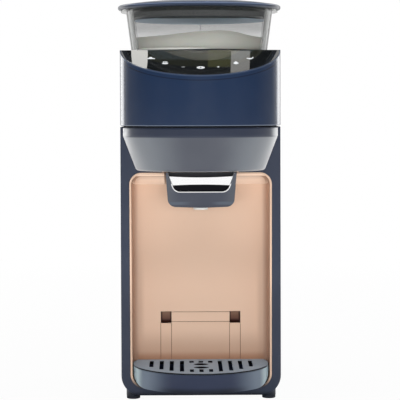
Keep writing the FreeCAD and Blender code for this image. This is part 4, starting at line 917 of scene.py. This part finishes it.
bead = bmesh.new()
bead_rings = []
for i in range(bead_steps + 1):
    share = i / bead_steps
    angle = bead_start + (bead_end - bead_start) * share
    thick = bead_thick * max(bead_tip, math.sqrt(math.sin(math.pi * share ** bead_lean)))
    ring = []
    for j in range(bead_sides):
        turn = 2 * math.pi * j / bead_sides
        point = round_jar(bead_r + thick * math.cos(turn), angle, bead_z + thick * math.sin(turn))
        ring.append(bead.verts.new(point))
    bead_rings.append(ring)
for first, second in zip(bead_rings, bead_rings[1:]):
    for (a, b), (c, d) in zip(next_pairs(first), next_pairs(second)):
        bead.faces.new((a, c, d, b))
bead.faces.new(bead_rings[0])
bead.faces.new(bead_rings[-1])
finish_mesh("well_bead", bead, plastic("bead white", bead_highlight_white, rough=0.4, vary=0.02, edge=0.0), "housing")

# ---------------------------------------------------------------- powder
heap_gap = 0.0005
heap_low = stirrer_top_z + 0.0014
heap_top = 0.3700
heap_side = 0.3648
heap_dish = 0.0012
heap_waves = ((0.0004, 3, 4), (0.0003, 7, -9))      # height, lobes round the heap, twist outward
peak_x = 0.026
left_reach = 0.092
right_reach = 0.040
jar_foot_r = 0.0667
jar_neck_r = 0.0760
jar_flange_low = jar_high.z - 0.002
jar_wall = 0.0025
ring_count = 14
around = 72
powder_cream = (0.938, 0.913, 0.822)


def jar_inside(z):
    share = (z - jar_low.z) / (jar_flange_low - jar_low.z)
    return jar_foot_r + (jar_neck_r - jar_foot_r) * share - jar_wall


def heap_edge(x):
    """Height at which the powder meets the jar's wall, highest a little right of the middle."""
    away = (peak_x - x) / left_reach if x < peak_x else (x - peak_x) / right_reach
    rise = 0.5 + 0.5 * math.cos(math.pi * min(1.0, away))
    return heap_side + (heap_top - heap_side) * rise


def heap_point(share, angle):
    """Point on top of the heap, at that share of the way from the axis to the wall."""
    wave = sum(high * math.sin(lobes * angle + twist * share) for high, lobes, twist in heap_waves)
    edge_z = heap_edge(share * jar_neck_r * math.cos(angle))
    z = edge_z - heap_dish * (1 - share ** 2) + wave * math.sin(math.pi * share)
    return round_jar(share * (jar_inside(z) - heap_gap), angle, z)


heap = bmesh.new()
angles = [2 * math.pi * j / around for j in range(around)]
heap_middle = heap.verts.new(heap_point(0.0, 0.0))
heap_rings = []
for i in range(1, ring_count + 1):
    heap_rings.append([heap.verts.new(heap_point(i / ring_count, angle)) for angle in angles])
heap_foot_r = jar_inside(heap_low) - heap_gap
heap_rings.append([heap.verts.new(round_jar(heap_foot_r, angle, heap_low)) for angle in angles])
for first, second in next_pairs(heap_rings[0]):
    heap.faces.new((heap_middle, first, second))
for inner, outer in zip(heap_rings, heap_rings[1:]):
    for (a, b), (c, d) in zip(next_pairs(inner), next_pairs(outer)):
        heap.faces.new((a, c, d, b))
heap.faces.new(heap_rings[-1])
powder = plastic("powder", powder_cream, rough=0.95, vary=0.04, grain=1600.0, grain_depth=0.0004,
                 edge=0.0, Subsurface_Weight=0.1)
finish_mesh("powder_heap", heap, powder, "hopper")

# ---------------------------------------------------------------- floor
floor_reach = 12.0
floor_corners = [(-floor_reach, -floor_reach, 0), (floor_reach, -floor_reach, 0),
                 (floor_reach, floor_reach, 0), (-floor_reach, floor_reach, 0)]
floor_clouds = 3.0
floor_white = (0.94, 0.94, 0.94)
floor_light = (0.96, 0.96, 0.96)
covered_x = (0.07, 0.12)
covered_front_y = (-0.42, -0.16)
covered_back_y = (0.13, 0.16)
shadow_fade = (0.1, 2.0)        # squares of the distance from the middle, in square metres
shadow_cover = 0.96
full_white = (1.0, 1.0, 1.0)

floor_mesh = bpy.data.meshes.new("floor")
floor_mesh.from_pydata(floor_corners, [], [(0, 1, 2, 3)])
floor = linked("floor", floor_mesh)

# The floor is a white sheet that shows the object's shadow faintly. What mirrors it sees plain white,
# except under and before the object, where it sees the shaded sheet.
floor_material, output, shader, body = new_material("floor")
shader.join(shader.mix(shader.noise(floor_clouds), floor_white, floor_light), body.inputs["Base Color"])
body.inputs["Roughness"].default_value = 0.7
glow = shader.add("ShaderNodeEmission")
glow.inputs["Color"].default_value = rgba(full_white)
rays = shader.add("ShaderNodeLightPath")
x, y, _ = shader.axes()
covered = shader.product(shader.fall(shader.math("ABSOLUTE", x), covered_x),
                         shader.strip(y, covered_front_y, covered_back_y))
open_floor = shader.math("SUBTRACT", 1.0, covered)
far = shader.math("ADD", shader.product(x, x), shader.product(y, y))
camera_share = shader.product(rays.outputs["Is Camera Ray"], shader.step(far, shadow_fade, shadow_cover, 1.0))
mirror_rays = shader.math("MAXIMUM", rays.outputs["Is Glossy Ray"], rays.outputs["Is Transmission Ray"])
mirror_share = shader.product(mirror_rays, open_floor)
blend = shader.add("ShaderNodeMixShader")
shader.join(shader.math("MAXIMUM", camera_share, mirror_share), blend.inputs[0])
shader.join(body.outputs[0], blend.inputs[1])
shader.join(glow.outputs[0], blend.inputs[2])
shader.join(blend.outputs[0], output.inputs["Surface"])
floor_mesh.materials.append(floor_material)

# ---------------------------------------------------------------- world
# What mirrors see of the studio, by how far ahead or up a direction points. Everything else is lit by
# the plain level, and the camera sees white.
beside_ahead = (-0.3, 0.5)
beside_level = 0.35
front_level = 0.022
behind_ahead = (-0.65, -0.35)
behind_level = 0.58
overhead_up = (0.4, 1.0)
overhead_level = 0.6
plain_level = 0.33

world = bpy.data.worlds.new("studio")
scene.world = world
world.use_nodes = True
sky = Shader(world.node_tree)
sky_out = sky.add("ShaderNodeOutputWorld")
rays = sky.add("ShaderNodeLightPath")
_, back, up = sky.split(sky.add("ShaderNodeTexCoord").outputs["Generated"])
front = sky.math("MULTIPLY", back, -1.0)
beside = sky.step(front, beside_ahead, beside_level, front_level)
behind = sky.fall(front, behind_ahead, behind_level)
overhead = sky.rise(up, overhead_up, overhead_level)
studio = sky.math("MAXIMUM", sky.math("ADD", beside, behind), overhead)
mirror_rays = sky.math("MAXIMUM", rays.outputs["Is Glossy Ray"], rays.outputs["Is Transmission Ray"])
lit = sky.math("MULTIPLY", sky.math("SUBTRACT", 1.0, mirror_rays), plain_level)
level = sky.math("ADD", sky.product(mirror_rays, studio), lit)
background = sky.add("ShaderNodeBackground")
sky.join(sky.math("MAXIMUM", level, rays.outputs["Is Camera Ray"]), background.inputs["Strength"])
background.inputs["Color"].default_value = rgba(full_white)
sky.join(background.outputs[0], sky_out.inputs["Surface"])


# ---------------------------------------------------------------- lamps
def lamp(name, place, target, width, height, power, mirrored=False):
    """An area lamp. Mirrors and clear walls show it only where mirrored is set, and the camera never."""
    data = bpy.data.lights.new(name, "AREA")
    data.shape = "RECTANGLE"
    data.size = width
    data.size_y = height
    data.energy = power
    light = linked(name, data)
    light.location = place
    light.rotation_euler = (Vector(target) - Vector(place)).to_track_quat("-Z", "Y").to_euler()
    light.visible_glossy = mirrored
    light.visible_transmission = mirrored
    light.visible_camera = False
    return light


lamp("front fill", place=(0, -2.6, 0.26), target=(0, 0, 0.2), width=1.3, height=0.5, power=34.0)
lamp("top", place=(0, -0.6, 2.2), target=(0, 0, 0.2), width=1.6, height=1.6, power=4.0)
lamp("floor bounce", place=(0, -0.85, 0.004), target=(0, -0.85, 1), width=1.6, height=1.1, power=2.6)
for side in (-1, 1):
    bay_glow = lamp("bay glow", place=(side * 0.05, -0.125, 0.05), target=(side * 0.048, -0.072, 0.222),
                    width=0.03, height=0.02, power=0.0125)
    bay_glow.data.spread = math.radians(56)
for side, power in ((-1, 4.6), (1, 4.0)):
    lamp(f"strip {side}", place=(side * 0.8, 0.92, 0.55), target=(0, -0.1, 0.3), width=0.45, height=1.1,
         power=power, mirrored=True)

# Cards for the glass panel to mirror, which only glossy rays see. They stand upright just behind the
# panel's back edge, each a little in front of the one before it.
# Each is (middle x, middle z, width, height, power, shape, colour).
card_step = 0.0003
card_back_y = face_y + 0.003
card_white = (1.0, 0.985, 0.94)
card_olive = (1.0, 1.0, 0.35)
cards = ((0.0, 0.352, 0.125, 0.046, 0.0006, "ELLIPSE", card_olive),
         (0.0195, 0.3640, 0.023, 0.0230, 0.00024, "RECTANGLE", card_olive),
         (-0.0605, 0.353, 0.0165, 0.085, 0.0100, "ELLIPSE", card_white),
         (0.0405, 0.3705, 0.019, 0.035, 0.0019, "RECTANGLE", card_white))
for i, (x, z, width, height, power, shape, colour) in enumerate(cards):
    card_y = card_back_y - card_step * i
    card = lamp("card", (x, card_y, z), (x, card_y - 1, z), width, height, power, mirrored=True)
    card.data.shape = shape
    card.data.color = colour
    card.visible_diffuse = False
    card.visible_transmission = False
